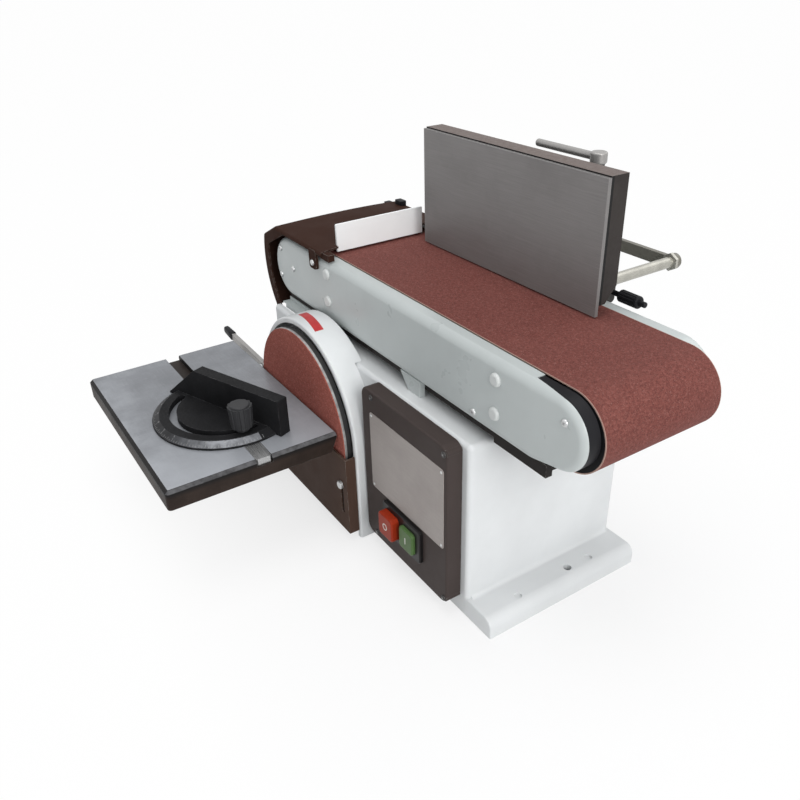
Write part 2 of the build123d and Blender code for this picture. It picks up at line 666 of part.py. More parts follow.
def arm_frame():
    """Ribbed beam inside the belt loop and the rear plate that turns on the pivot tube."""
    beam = block(*BEAM_X, *BEAM_Y, *BEAM_Z)
    bays = 3
    step = (BEAM_X[1] - BEAM_X[0] - BEAM_WALL) / bays
    middle = (BEAM_Y[0] + BEAM_Y[1]) / 2
    for i in range(bays):
        x0 = BEAM_X[0] + BEAM_WALL + i * step
        for y0, y1 in ((BEAM_Y[0] + BEAM_WALL, middle - 20), (middle + 20, BEAM_Y[1] - BEAM_WALL)):
            beam -= block(x0, x0 + step - BEAM_WALL, y0, y1, BEAM_Z[0] - 1, BEAM_Z[1] - 8)
    beam -= rod_x(0, AXIS_Z, 10.5, 185, 222)
    beam -= rod_x(0, AXIS_Z, 6 + RUN_FIT, 221, BEAM_X[1] + 1)
    side = rect(*BEAM_X, BEAM_Z[0], BEAM_Z[1] - 7)
    plate = hull_of((DRIVE_X, AXIS_Z, 34), (BEAM_X[0], AXIS_Z, 25.6)) + side
    frame = beam + slab_y(plate, *ARM_PLATE_Y) + slab_y(side, 70, 80)
    frame -= rod_y(DRIVE_X, AXIS_Z, TUBE_R + RUN_FIT, ARM_PLATE_Y[0] - 1, ARM_PLATE_Y[1] + 1)
    for x, z in DOMES:
        frame -= screw_hole(x, z, M5, BEAM_Y[0] - 1, BEAM_Y[0] + 16)
        frame -= screw_hole(x, z, M5, ARM_PLATE_Y[1] - 16, ARM_PLATE_Y[1] + 1)
    return frame


def platen():
    return block(-105, 275, 1 - BELT_HALF, BELT_HALF - 1, BEAM_Z[1], PLATEN_TOP)


def sanding_belt():
    outer = stadium(DRIVE_X, IDLER_X, BELT_R + BELT_T)
    return slab_y(outer - stadium(DRIVE_X, IDLER_X, BELT_R), -BELT_HALF, BELT_HALF)


def casing_outline(nose, inset):
    """Side view of a casing whose idler end is the circle nose, drawn in by inset."""
    x, z, r = nose
    bend = min(x, CASING_BEND)
    return hull_of((CASING_X, AXIS_Z, CASING_R - inset), (bend, AXIS_Z, CASING_R - inset), (x, z, r - inset))


def casing(post_end, nose):
    """Rounded tray on the +Y side, open towards the belt, with four screw posts."""
    tray = slab_y(casing_outline(nose, 0), *CASING_Y)
    tray = fillet(tray.faces().sort_by(Axis.Y)[-1].edges(), CASING_ROUND)
    step = CASING_ROUND - CASING_WALL
    for inset, depth in ((CASING_WALL, CASING_ROUND), (step, CASING_WALL)):
        tray -= slab_y(casing_outline(nose, inset), CASING_Y[0] - 1, CASING_Y[1] - depth)
    for x, z in DOMES:
        tray += rod_y(x, z, POST_R, post_end, CASING_Y[1] - 1)
        tray -= screw_hole(x, z, M5, post_end - 1, CASING_Y[1] + 1)
    for x, z in small_screw_points(nose):
        tray -= screw_hole(x, z, M3, CASING_Y[1] - 5, CASING_Y[1] + 1)
    return tray


def small_screw_points(nose):
    """Points of the small screws that lie on a casing with that nose."""
    return [point for point in SMALL_SCREWS if point[0] < nose[0] + nose[2] / 2]


def nose_opening():
    """Space at the idler end of the +Y side between a casing and the belt."""
    y0, y1, y2 = NOSE_Y
    outline = Polyline((NOSE_X, y0 - 1), (400, y0 - 1), (400, y2), (NOSE_X + NOSE_RUN, y2), (NOSE_X, y1), close=True)
    return slab_z(make_face(outline), 200, 400)


def front_casing():
    """Casing on the disc side with the foot that rests on the base."""
    shell = mirror(casing(-BEAM_Y[0], CASING_NOSE) - nose_opening(), about=Plane.XZ)
    x0, x1, x2 = REST_LUG_X
    top = AXIS_Z - CASING_R + 2
    foot = BASE_TOP + GAP
    lug = make_face(Polyline((x0, top), (x1, foot), (x2, foot), (x2, top), close=True))
    shell += slab_y(lug, -CASING_Y[1] + 1, -PAN_Y - GAP)
    return shell - screw_hole(*HOOD_LUG, M3, -CASING_Y[1] - 1, -CASING_Y[1] + 5)


def rear_casing():
    shell = casing(ARM_PLATE_Y[1], REAR_NOSE) - rod_y(DRIVE_X, AXIS_Z, 28, CASING_Y[0] - 1, CASING_Y[1] + 1)
    for x in GUIDE_LEGS:
        shell -= screw_hole(x, LEG_BOLT_Z, M5, CASING_Y[1] - 5, CASING_Y[1] + 1)
    return shell - screw_hole(*HOOD_LUG, M3, CASING_Y[1] - 5, CASING_Y[1] + 1)


def nose_guard():
    """Dark half sleeve between the front casing and the belt at the idler end."""
    ring = casing_outline(CASING_NOSE, 1) - casing_outline(CASING_NOSE, 4)
    return mirror(slab_y(ring, NOSE_Y[0], NOSE_Y[2]) & nose_opening(), about=Plane.XZ)


def casing_screws():
    screws = []
    for side in (-1, 1):
        face = side * CASING_Y[1]
        reach = (CASING_Y[1] + BEAM_Y[0] + 12) if side < 0 else 14
        screws += [dome_screw(x, z, face, M5, reach, side) for x, z in DOMES]
    screws += [dome_screw(x, LEG_BOLT_Z, LEG_FACE, M5, 15, 1) for x in GUIDE_LEGS]
    return screws


def small_screws():
    """Small screws of the casings and the hood's lugs."""
    screws = []
    for side, nose in ((-1, CASING_NOSE), (1, REAR_NOSE)):
        screws += [dome_screw(x, z, side * CASING_Y[1], M3, 2.4, side) for x, z in small_screw_points(nose)]
        screws.append(dome_screw(*HOOD_LUG, side * HOOD_Y, M3, 6, side))
    return screws


def hood_outline(inset, roof_inset, end_angle, foot):
    """Roof line, sloping shoulder and end arc about the drive axis, drawn in by inset."""
    r = HOOD_R - inset
    top = HOOD_TOP + HOOD_SPARE - roof_inset
    run, rise = HOOD_RIDGE - HOOD_SHOULDER[0], HOOD_TOP - HOOD_SHOULDER[1]
    length = math.hypot(run, rise)
    along = (run / length, rise / length)
    x0 = HOOD_SHOULDER[0] + inset * along[1]
    z0 = HOOD_SHOULDER[1] - inset * along[0]
    reach = along[0] * (x0 - DRIVE_X) + along[1] * (z0 - AXIS_Z)
    t = -reach - math.sqrt(reach ** 2 - (x0 - DRIVE_X) ** 2 - (z0 - AXIS_Z) ** 2 + r * r)
    shoulder = (x0 + t * along[0], z0 + t * along[1])
    ridge = (x0 + (top - z0) * run / rise, top)
    end = polar((DRIVE_X, AXIS_Z), r, end_angle)
    front = HOOD_TAB[0] + (1 if inset else 0)
    face = make_face(
        [
            Line((front, top), ridge),
            Line(ridge, shoulder),
            ThreePointArc(shoulder, polar((DRIVE_X, AXIS_Z), r, 180), end),
            Line(end, (end[0], foot)),
            Line((end[0], foot), (front, foot)),
            Line((front, foot), (front, top)),
        ]
    )
    turn = face.vertices().sort_by_distance((shoulder[0], shoulder[1], 0))[0]
    return fillet(turn, HOOD_BEND)


def hood_crown(inset):
    """Long cylinder that arches the roof across the belt."""
    r = HOOD_CROWN - inset
    return rod_x(0, HOOD_TOP - HOOD_CROWN, r, -400, 0)


def belt_hood():
    """Arched cover over the drive end, with side lips, fixing lugs, two front tabs and a front flange."""
    end_z = polar((DRIVE_X, AXIS_Z), HOOD_R, HOOD_END_ANGLE)[1]
    tab_x, hook_x, hook_z = HOOD_TAB
    tab_y, *hook_y = HOOD_TAB_Y
    hood = slab_y(hood_outline(0, 0, HOOD_END_ANGLE, end_z - 0.001), -HOOD_Y, HOOD_Y)
    hood -= block(-400, tab_x + 1, -HOOD_Y - 1, HOOD_Y + 1, 100, end_z)
    hood &= hood_crown(0)
    rims = [f.outer_wire().edges().filter_by(lambda e: e.center().Z > end_z + 1 and e.center().X < tab_x - 1)
            for f in (hood.faces().sort_by(Axis.Y)[0], hood.faces().sort_by(Axis.Y)[-1])]
    hood = fillet(rims[0] + rims[1], HOOD_ROUND)
    inner = slab_y(hood_outline(SHEET, 0, 232, 150), -HOOD_Y + SHEET, HOOD_Y - SHEET)
    hood -= inner & hood_crown(SHEET)
    hood -= slab_y(hood_outline(HOOD_LIP, HOOD_RIM + HOOD_SPARE, 232, 150), -HOOD_Y - 1, HOOD_Y + 1)
    hood -= block(HOOD_FRONT, tab_x + 1, -tab_y, tab_y, end_z, HOOD_TOP + 1)
    y0, y1 = STOP_PLATE[:2]
    hood += block(HOOD_FRONT - 2, HOOD_FRONT, y0 + 8, y1 - 8, STOP_PLATE[2] + 0.6, HOOD_TOP - 4)
    x, z = HOOD_LUG
    for side in (-1, 1):
        ends = sorted((side * (CASING_Y[1] + HOLE_FIT), side * HOOD_Y))
        lug = round_rect(x - 9, x + 9, z - 8, HOOD_TOP - 8, 4)
        hood += slab_y(lug, *ends) - screw_hole(x, z, M3, ends[0] - 1, ends[1] + 1)
        near, far = sorted(side * y for y in hook_y)
        hood += block(tab_x - 6, hook_x, near, far, hook_z, HOOD_TOP - 7.5)
    return hood


def work_stop():
    y0, y1, z0, z1 = STOP_PLATE
    plate = block(HOOD_FRONT, HOOD_FRONT + STOP_T, y0, y1, z0, z1)
    return fillet(plate.edges().filter_by(Axis.X).group_by(Axis.Z)[-1], 1.5)


def lower_belt_guard():
    """Pan under the belt's return run, turned up round the drive end and hung from the casings."""
    outer, inner, rim = [stadium(CASING_X, 2 * PAN_END, r) for r in (PAN_R, PAN_R - PAN_T, CASING_R)]
    keep = rect(CASING_X - 2 * PAN_R, PAN_END, AXIS_Z - 2 * PAN_R, PAN_TOP)
    pan = slab_y((outer - inner) & keep, -PAN_Y, PAN_Y)
    drop_x, drop_z = PAN_DROP
    for y0 in (-PAN_Y, PAN_Y - PAN_SIDE):
        pan += slab_y((outer - rim) & keep, y0, y0 + PAN_SIDE)
        pan += block(drop_x, PAN_END, y0, y0 + PAN_SIDE, drop_z, AXIS_Z - PAN_R + 1)
    return pan


def fence_guide():
    """Guide bar for the fence rods, two legs on the rear casing and the clamp's post."""
    guide = block(*GUIDE_X, *GUIDE_Y, *GUIDE_Z)
    for x in GUIDE_LEGS:
        guide += block(x - LEG_HALF, x + LEG_HALF, CASING_Y[1], LEG_FACE, LEG_BOLT_Z - 12, GUIDE_Z[1] - 8)
        guide += block(x - LEG_HALF, x + LEG_HALF, GUIDE_Y[1] - 1, LEG_FACE, GUIDE_Z[0], GUIDE_Z[1] - 8)
        guide -= screw_hole(x, LEG_BOLT_Z, M5, CASING_Y[1] - 1, LEG_FACE + 1)
    guide += rod_z(*CLAMP_XY, 7, GUIDE_Z[0], CLAMP_Z[0] - GAP)
    guide += rod_z(*CLAMP_XY, CLAMP_PIN_R, CLAMP_Z[0] - 2, CLAMP_Z[1] - 3)
    for x in ROD_X:
        guide -= rod_y(x, ROD_Z, ROD_R + RUN_FIT, GUIDE_Y[0] - 5, GUIDE_Y[1] + 1)
    return guide


def fence_clamp_lever():
    x, y = CLAMP_XY
    z = (CLAMP_Z[0] + CLAMP_Z[1]) / 2
    hub = rod_z(x, y, 9, *CLAMP_Z)
    hub = fillet(hub.edges().filter_by(GeomType.CIRCLE), 2)
    arm = rod_x(y, z, 4.2, x - CLAMP_ARM, x - 4)
    arm = fillet(arm.edges().filter_by(GeomType.CIRCLE).sort_by(Axis.X)[0], 2)
    return hub + arm - rod_z(x, y, CLAMP_PIN_R + RUN_FIT, CLAMP_Z[0] - 1, CLAMP_Z[1] - 3 + GAP)


def tracking_bracket():
    y, z = KNOB_AXIS
    x0, x1 = TRACK_X
    bracket = block(x0, x1, CASING_Y[1], y + 9, z - 15, GUIDE_Z[0] - GAP)
    bracket = fillet(bracket.edges().filter_by(Axis.X).group_by(Axis.Y)[-1], 5)
    return bracket - rod_x(y, z, TRACK_SCREW_R + RUN_FIT, x0 - 1, x1 + 1)


def tracking_knob():
    """Fluted knob on the tracking screw."""
    y, z = KNOB_AXIS
    knob = rod_x(y, z, KNOB_R, *KNOB_X)
    knob = fillet(knob.edges().filter_by(GeomType.CIRCLE), 2)
    for i in range(12):
        u, v = polar((y, z), KNOB_R + 0.5, 30 * i)
        knob -= rod_x(u, v, 1.2, KNOB_X[0] + 3, KNOB_X[1] - 3)
    tip_r, tip_x = KNOB_TIP
    tip = rod_x(y, z, tip_r, KNOB_X[1] - 1, tip_x)
    knob += fillet(tip.edges().filter_by(GeomType.CIRCLE).sort_by(Axis.X)[-1], 1)
    return knob + rod_x(y, z, TRACK_SCREW_R, TRACK_X[0] - 2, KNOB_X[0] + 1)


def fence_face():
    return block(*FENCE_X, FENCE_Y[0], FENCE_Y[0] + FENCE_FACE_T, FENCE_Z[0], FENCE_Z[1] - 1.5)


def fence_block():
    y0, y1 = FENCE_Y[0] + FENCE_FACE_T, FENCE_Y[1]
    z0, z1 = FENCE_Z[0] + FENCE_STEP, FENCE_Z[1]
    cut_y, cut_z = FENCE_CUT
    profile = Polyline((y0, z0), (cut_y, z0), (y1, cut_z), (y1, z1), (y0, z1), close=True)
    body = slab_x(make_face(profile), *FENCE_X)
    for x in ROD_X:
        body += rod_y(x, ROD_Z, ROD_BOSS_R, y0, y1)
        body -= rod_y(x, ROD_Z, ROD_R + SEAT_FIT, y0 + 5, y1 + 1)
    return body


def fence_rods():
    return [rod_y(x, ROD_Z, ROD_R, FENCE_Y[0] + FENCE_FACE_T + 5, ROD_END + 1) for x in ROD_X]


def fence_tie_bar():
    """Flat bar across the rod ends with a boss round each rod."""
    middle = sum(TIE_Z) / 2
    half = (TIE_Z[1] - TIE_Z[0]) / 2
    outline = hull_of(*[(x, middle, half) for x in ROD_X])
    for x in ROD_X:
        outline += disk(x, ROD_Z, TIE_BOSS_R)
        outline -= disk(x, ROD_Z, ROD_R + SEAT_FIT)
    return slab_y(outline, ROD_END - TIE_T, ROD_END)


def lower_guard():
    """Slotted plate in front of the lower half of the disc, with side flanges."""
    x0, x1 = PLATE_X
    plate = block(x0, x1, PLATE_FACE, PLATE_FACE + SHEET, *PLATE_Z)
    for u0, u1 in ((x0, x0 + SHEET), (x1 - SHEET, x1)):
        plate += block(u0, u1, PLATE_FACE, GUARD_FRONT - GAP, *PLATE_Z)
    for x in STUD_X:
        slot = hull_of((x, SLOT_Z[0] + 3, 3), (x, SLOT_Z[1] - 3, 3))
        plate -= slab_y(slot, PLATE_FACE - 1, PLATE_FACE + SHEET + 1)
    return plate


def lock_point():
    return polar(HINGE_YZ, LOCK_R, 180 + LOCK_ANGLE)


def trunnion_cheeks():
    """Two brackets on the lower guard; each carries a hinge pin, the far one the lock screw."""
    y, z = HINGE_YZ
    outline = hull_of((y, z, 6), (*lock_point(), 7), (PLATE_FACE - 4, 72, 4), (PLATE_FACE - 4, 118, 4))
    cheeks = []
    for x in CHEEK_X:
        cheek = slab_x(outline, x - CHEEK_T / 2, x + CHEEK_T / 2)
        cheek -= rod_x(*lock_point(), HINGE_PIN_R + RUN_FIT, x - 10, x + 10)
        inward = 1 if x == min(CHEEK_X) else -1
        pin_x = sorted((x, x + inward * (CHEEK_T + QUADRANT_T)))
        cheeks.append(cheek + rod_x(y, z, HINGE_PIN_R, *pin_x))
    return cheeks


def table_quadrants():
    """Two sector plates under the table, pierced for the hinge pin and the lock screw."""
    y, z = HINGE_YZ
    under = TABLE_TOP - TABLE_T
    last = polar(HINGE_YZ, 2 * QUADRANT_R, 180 + LOCK_ANGLE + 8)
    wedge = make_face(Polyline((y + 6, z), (y + 6, under), (y - 80, under), (y - 80, z - 20), last, (y, z - 7),
                               close=True))
    sector = (disk(y, z, QUADRANT_R) & wedge) + disk(y, z, 6.5) + rect(y - 62, y + 6, z, under)
    sector -= disk(y, z, HINGE_PIN_R + RUN_FIT)
    for i in range(int(TILT_RANGE / 2) + 1):
        sector -= disk(*polar(HINGE_YZ, LOCK_R, 180 + LOCK_ANGLE - 2 * i), HINGE_PIN_R + GAP)
    plates = []
    for x in CHEEK_X:
        inner = CHEEK_T / 2 + GAP
        x0 = x + inner if x == min(CHEEK_X) else x - inner - QUADRANT_T
        plates.append(slab_x(sector, x0, x0 + QUADRANT_T))
    return plates


def tilt_lock_knob():
    """Four-lobed knob whose screw passes the far cheek and its quadrant."""
    y, z = lock_point()
    x = min(CHEEK_X) - CHEEK_T / 2 - GAP
    lobes = Circle(9)
    for i in range(4):
        lobes += disk(*polar((0, 0), 8.5, 90 * i), 5)
    knob = slab_x(Pos(y, z) * lobes, x - 18, x - 6) + rod_x(y, z, 6, x - 6, x)
    return knob + rod_x(y, z, HINGE_PIN_R, x, x + CHEEK_T + QUADRANT_T + 4)


def work_table():
    """Table plate with a mitre slot and skirts on the three free sides."""
    x0, x1 = TABLE_X
    y0, y1 = TABLE_Y
    table = block(x0, x1, y0, y1, SKIRT_Z, TABLE_TOP)
    table = fillet(table.edges().filter_by(Axis.Z).group_by(Axis.Y)[0], TABLE_CORNER)
    table = chamfer(table.faces().sort_by(Axis.Z)[-1].edges().sort_by(Axis.Y)[:-1], TABLE_BEVEL)
    table -= block(x0 + SKIRT_T, x1 - SKIRT_T, y0 + SKIRT_T, y1 + 1, SKIRT_Z - 1, TABLE_TOP - TABLE_T)
    corner = Polyline((y1 - SKIRT_CUT, SKIRT_Z), (y1, TABLE_TOP - 6), (y1 + 1, SKIRT_Z), close=True)
    table -= slab_x(make_face(corner), x0 - 1, x1 + 1)
    table = chamfer(table.faces().sort_by(Axis.Z)[-1].edges().sort_by(Axis.Y)[-1:], 1)
    slot_z = TABLE_TOP - SLOT_DEPTH
    return table - block(x0 - 1, x1 + 1, SLOT_Y - SLOT_W / 2, SLOT_Y + SLOT_W / 2, slot_z, TABLE_TOP + 1)


def mitre_bar():
    """Sliding bar with the head's pivot pin."""
    z0, z1 = TABLE_TOP - SLOT_DEPTH + GAP, TABLE_TOP - GAP
    half = SLOT_W / 2 - GAP
    bar = block(*MITRE_BAR_X, SLOT_Y - half, SLOT_Y + half, z0, z1)
    bar = chamfer(bar.edges().filter_by(Axis.Z), 2)
    bar += rod_z(*MITRE_PIVOT, MITRE_PIN_R, z1 - 1, TABLE_TOP + GAP + MITRE_PLATE_T)
    return bar - rod_z(MITRE_KNOB_X, SLOT_Y, MITRE_SCREW_R + RUN_FIT, z0 + 1, z1 + 1)


def mitre_head():
    """Protractor with a bevelled rim, an arc slot and an upright fence with one slanted end."""
    z0 = TABLE_TOP + GAP
    front, back = MITRE_FENCE_Y
    slot_r = math.hypot(MITRE_KNOB_X - MITRE_PIVOT[0], SLOT_Y - MITRE_PIVOT[1])
    band = Circle(slot_r + MITRE_SLOT_HALF) - Circle(slot_r - MITRE_SLOT_HALF)
    reach = 200
    left = polar((0, 0), reach, -90 - MITRE_SWING)
    right = polar((0, 0), reach, -90 + MITRE_SWING)
    wedge = make_face(Polyline((0, 0), left, (-reach, -reach), (reach, -reach), right, close=True))
    plate = Circle(MITRE_R) & rect(-MITRE_R, MITRE_R, -MITRE_R, back)
    plate -= band & wedge
    for side in (-1, 1):
        plate -= disk(*polar((0, 0), slot_r, -90 + side * MITRE_SWING), MITRE_SLOT_HALF)
    rise = MITRE_PLATE_T - MITRE_LIP
    cone = Pos(0, 0, z0 + MITRE_LIP + rise / 2) * Cone(MITRE_R, MITRE_R - MITRE_BEVEL, rise)
    head = slab_z(plate, z0, z0 + MITRE_PLATE_T) & (rod_z(0, 0, MITRE_R, z0, z0 + MITRE_LIP) + cone)
    x0, x1 = MITRE_FENCE_X
    top = z0 + MITRE_FENCE_H
    outline = Polyline((MITRE_FENCE_FOOT, z0), (x1, z0), (x1, top), (x0, top), (MITRE_FENCE_FOOT, z0 + MITRE_LIP),
                       close=True)
    fence = slab_y(make_face(outline), front, back)
    fence = fillet(fence.edges().filter_by(Axis.Y).group_by(Axis.Z)[-1], 1.5)
    head += fence
    head -= rod_z(0, 0, MITRE_PIN_R + RUN_FIT, z0 - 1, z0 + MITRE_PLATE_T + GAP)
    return Pos(*MITRE_PIVOT, 0) * Rot(0, 0, MITRE_ANGLE) * head


def fluted(r):
    """Knob outline with a ring of grip flutes."""
    outline = Circle(r)
    for i in range(12):
        outline -= disk(*polar((0, 0), r + 0.6, i * 30), 1.8)
    return outline


def mitre_knob():
    """Tapered grip on a collar, with its screw in the sliding bar."""
    z0 = TABLE_TOP + GAP + MITRE_PLATE_T + GAP
    foot = Plane((0, 0, z0 + 5)) * fluted(0.88 * MITRE_KNOB_R)
    crown = Plane((0, 0, MITRE_KNOB_TOP - 2)) * fluted(MITRE_KNOB_R)
    knob = loft([foot, crown])
    knob += rod_z(0, 0, 8, z0, z0 + 5.5)
    cap = rod_z(0, 0, 0.82 * MITRE_KNOB_R, MITRE_KNOB_TOP - 3, MITRE_KNOB_TOP)
    knob += fillet(cap.edges().filter_by(GeomType.CIRCLE).sort_by(Axis.Z)[-1], 1.5)
    knob += rod_z(0, 0, MITRE_SCREW_R, TABLE_TOP - SLOT_DEPTH + 2, z0 + 1)
    return Pos(MITRE_KNOB_X, SLOT_Y, 0) * knob


def table_clamp_lever():
    """Flat lever on the guard's far side, pivoting on its stud."""
    x, z = LEVER_PIVOT
    lever = slab_y(hull_of((x, z, 9), (*LEVER_END, 4)), *LEVER_Y)
    return lever - rod_y(x, z, LEVER_STUD_R + RUN_FIT, LEVER_Y[0] - 1, LEVER_Y[1] + 1)


NODES = {
    "base_casting": base_casting(),
    "disc_guard": disc_guard(),
    "m6_bolts": m6_bolts(),
    "m4_screws": m4_screws(),
    "switch_box": switch_box(),
    "switch_body": switch_body(),
    "stop_button": button(STOP_BOX, STOP_FACE),
    "start_button": button(START_BOX, START_FACE),
    "motor_end_bells": motor_end_bells(),
    "motor_housing": motor_housing(),
    "motor_stator": motor_stator(),
    "shaft_bearings": shaft_bearings(),
    "run_capacitor": run_capacitor(),
    "pivot_pedestal": pivot_pedestal(),
    "pulley_cover": pulley_cover(),
    "drive_belt": drive_belt(),
    "dust_port": dust_port(),
    "cable_gland": cable_gland(),
    "bracket_studs": bracket_studs(),
    "motor_shaft": motor_shaft(),
    "rotor_core": rotor_core(),
    "motor_fan": motor_fan(),
    "motor_pulley": pulley(MOTOR_X, MOTOR_Z, MOTOR_PITCH),
    "disc_plate": disc_plate(),
    "abrasive_disc": abrasive_disc(),
    "drive_drum": drive_drum(),
    "drive_shaft": drive_shaft(),
    "drum_pulley": pulley(DRIVE_X, AXIS_Z, DRUM_PITCH),
    "arm_frame": arm_frame(),
    "platen": platen(),
    "sanding_belt": sanding_belt(),
    "front_casing": front_casing(),
    "rear_casing": rear_casing(),
    "nose_guard": nose_guard(),
    "casing_screws": casing_screws(),
    "small_screws": small_screws(),
    "belt_hood": belt_hood(),
    "work_stop": work_stop(),
    "lower_belt_guard": lower_belt_guard(),
    "fence_guide": fence_guide(),
    "tracking_bracket": tracking_bracket(),
    "idler_yoke": [idler_yoke(), idler_axle()],
    "tension_spring": tension_spring(),
    "idler_drum": idler_drum(),
    "idler_bearings": idler_bearings(),
    "tracking_knob": tracking_knob(),
    "fence_face": fence_face(),
    "fence_block": fence_block(),
    "fence_rods": fence_rods(),
    "fence_tie_bar": fence_tie_bar(),
    "fence_clamp_lever": fence_clamp_lever(),
    "lower_guard": lower_guard(),
    "trunnion_cheeks": trunnion_cheeks(),
    "work_table": work_table(),
    "table_quadrants": table_quadrants(),
    "tilt_lock_knob": tilt_lock_knob(),
    "mitre_bar": mitre_bar(),
    "mitre_head": mitre_head(),
    "mitre_knob": mitre_knob(),
    "table_clamp_lever": table_clamp_lever(),
}

os.makedirs("parts", exist_ok=True)
for name, shape in NODES.items():
    solid = Compound(children=shape) if isinstance(shape, list) else shape
    export_step(solid, f"parts/{name}.step")
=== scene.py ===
import math
from collections import namedtuple

import bmesh
import bpy
from mathutils import Matrix, Vector


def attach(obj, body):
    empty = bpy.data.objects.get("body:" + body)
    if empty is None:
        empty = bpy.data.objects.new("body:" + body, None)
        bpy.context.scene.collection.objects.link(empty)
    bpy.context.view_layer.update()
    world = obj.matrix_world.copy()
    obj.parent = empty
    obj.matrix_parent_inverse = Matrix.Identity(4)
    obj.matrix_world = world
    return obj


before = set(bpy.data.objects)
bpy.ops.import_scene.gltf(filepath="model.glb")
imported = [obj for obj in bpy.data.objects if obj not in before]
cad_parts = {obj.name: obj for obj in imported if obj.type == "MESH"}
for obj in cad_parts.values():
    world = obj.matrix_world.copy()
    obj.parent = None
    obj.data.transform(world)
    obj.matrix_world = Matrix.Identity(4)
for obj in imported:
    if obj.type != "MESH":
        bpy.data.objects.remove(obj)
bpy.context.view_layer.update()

MM = 0.001
CIRCLE = 2 * math.pi

# Places on the solids, in millimetres
MOTOR_X, MOTOR_Z = -83.4, 133.0
GUARD_RADIUS = 127.0
SWITCH_BOX_FACE = -131.0
CASING_SCREW_FACE = 97.9
TABLE_TOP = 155.0

Bump = namedtuple("Bump", "height strength depth")


class Shader:
    """Principled material with short calls for the procedural nodes that feed it."""

    # Sockets of the Mix node that carry colours
    MIX_A, MIX_B, MIX_RESULT = 6, 7, 2
    # Cosine between the true and the rounded normal, on a flat face and on a sharp edge
    FLAT, SHARP = 0.985, 0.86
    # Range that fills most of a noise texture
    NOISE_LOW, NOISE_HIGH = 0.3, 0.7

    def __init__(self, name, **sockets):
        self.material = bpy.data.materials.new(name)
        self.material.use_nodes = True
        self.tree = self.material.node_tree
        self.bsdf = self.tree.nodes["Principled BSDF"]
        for key, value in sockets.items():
            self.bsdf.inputs[key.replace("_", " ")].default_value = value
        self.texture = self.tree.nodes.new("ShaderNodeTexCoord")

    def put(self, socket, value):
        """Links a socket or sets a value; None leaves the default."""
        if isinstance(value, bpy.types.NodeSocket):
            self.tree.links.new(value, socket)
        elif value is not None:
            socket.default_value = value

    def node(self, kind, **settings):
        made = self.tree.nodes.new("ShaderNode" + kind)
        for key, value in settings.items():
            setattr(made, key, value)
        return made

    def coords(self, stretch=(1, 1, 1), turn=(0, 0, 0)):
        mapping = self.node("Mapping")
        self.put(mapping.inputs["Vector"], self.texture.outputs["Object"])
        mapping.inputs["Scale"].default_value = stretch
        mapping.inputs["Rotation"].default_value = turn
        return mapping.outputs["Vector"]

    def noise(self, scale, detail=3.0, rough=0.55, stretch=(1, 1, 1), turn=(0, 0, 0)):
        made = self.node("TexNoise")
        self.put(made.inputs["Vector"], self.coords(stretch, turn))
        made.inputs["Scale"].default_value = scale
        made.inputs["Detail"].default_value = detail
        made.inputs["Roughness"].default_value = rough
        return made.outputs["Fac"]

    def cells(self, scale, output="Distance"):
        made = self.node("TexVoronoi")
        self.put(made.inputs["Vector"], self.coords())
        made.inputs["Scale"].default_value = scale
        return made.outputs[output]

    def span(self, value, low, high, out_low=0.0, out_high=1.0):
        """Maps low to out_low and high to out_high, and clamps."""
        made = self.node("MapRange")
        for key, item in zip(("Value", "From Min", "From Max", "To Min", "To Max"),
                             (value, low, high, out_low, out_high)):
            self.put(made.inputs[key], item)
        return made.outputs["Result"]

    def cloud(self, scale, detail, out_low=0.0, out_high=1.0):
        """Soft noise stretched to the whole of the range given."""
        return self.span(self.noise(scale, detail), self.NOISE_LOW, self.NOISE_HIGH, out_low, out_high)

    def math(self, operation, a, b=None):
        made = self.node("Math", operation=operation)
        self.put(made.inputs[0], a)
        self.put(made.inputs[1], b)
        return made.outputs[0]

    def times(self, a, b):
        return self.math("MULTIPLY", a, b)

    def mix(self, factor, a, b, blend="MIX"):
        made = self.node("Mix", data_type="RGBA", blend_type=blend)
        self.put(made.inputs["Factor"], factor)
        for key, colour in ((self.MIX_A, a), (self.MIX_B, b)):
            self.put(made.inputs[key], (*colour, 1) if isinstance(colour, tuple) else colour)
        return made.outputs[self.MIX_RESULT]

    def axis(self, letter, source="Object"):
        made = self.node("SeparateXYZ")
        self.put(made.inputs[0], self.texture.outputs[source])
        return made.outputs[letter]

    def edge(self, radius):
        """0 on flat faces, rising to 1 along sharp edges."""
        bevel = self.node("Bevel", samples=4)
        bevel.inputs["Radius"].default_value = radius
        flat = self.node("NewGeometry")
        dot = self.node("VectorMath", operation="DOT_PRODUCT")
        self.put(dot.inputs[0], bevel.outputs[0])
        self.put(dot.inputs[1], flat.outputs["Normal"])
        return self.span(dot.outputs["Value"], self.FLAT, self.SHARP)

    def finish(self, colour, rough=None, metal=None, bumps=()):
        """Links colour, roughness and metal, and stacks the bumps."""
        for key, value in (("Base Color", colour), ("Roughness", rough), ("Metallic", metal)):
            self.put(self.bsdf.inputs[key], value)
        normal = None
        for height, strength, depth in bumps:
            bump = self.node("Bump")
            bump.inputs["Strength"].default_value = strength
            bump.inputs["Distance"].default_value = depth
            self.put(bump.inputs["Height"], height)
            self.put(bump.inputs["Normal"], normal)
            normal = bump.outputs["Normal"]
        self.put(self.bsdf.inputs["Normal"], normal)
        return self.material


def shade(colour, factor):
    return tuple(c * factor for c in colour)


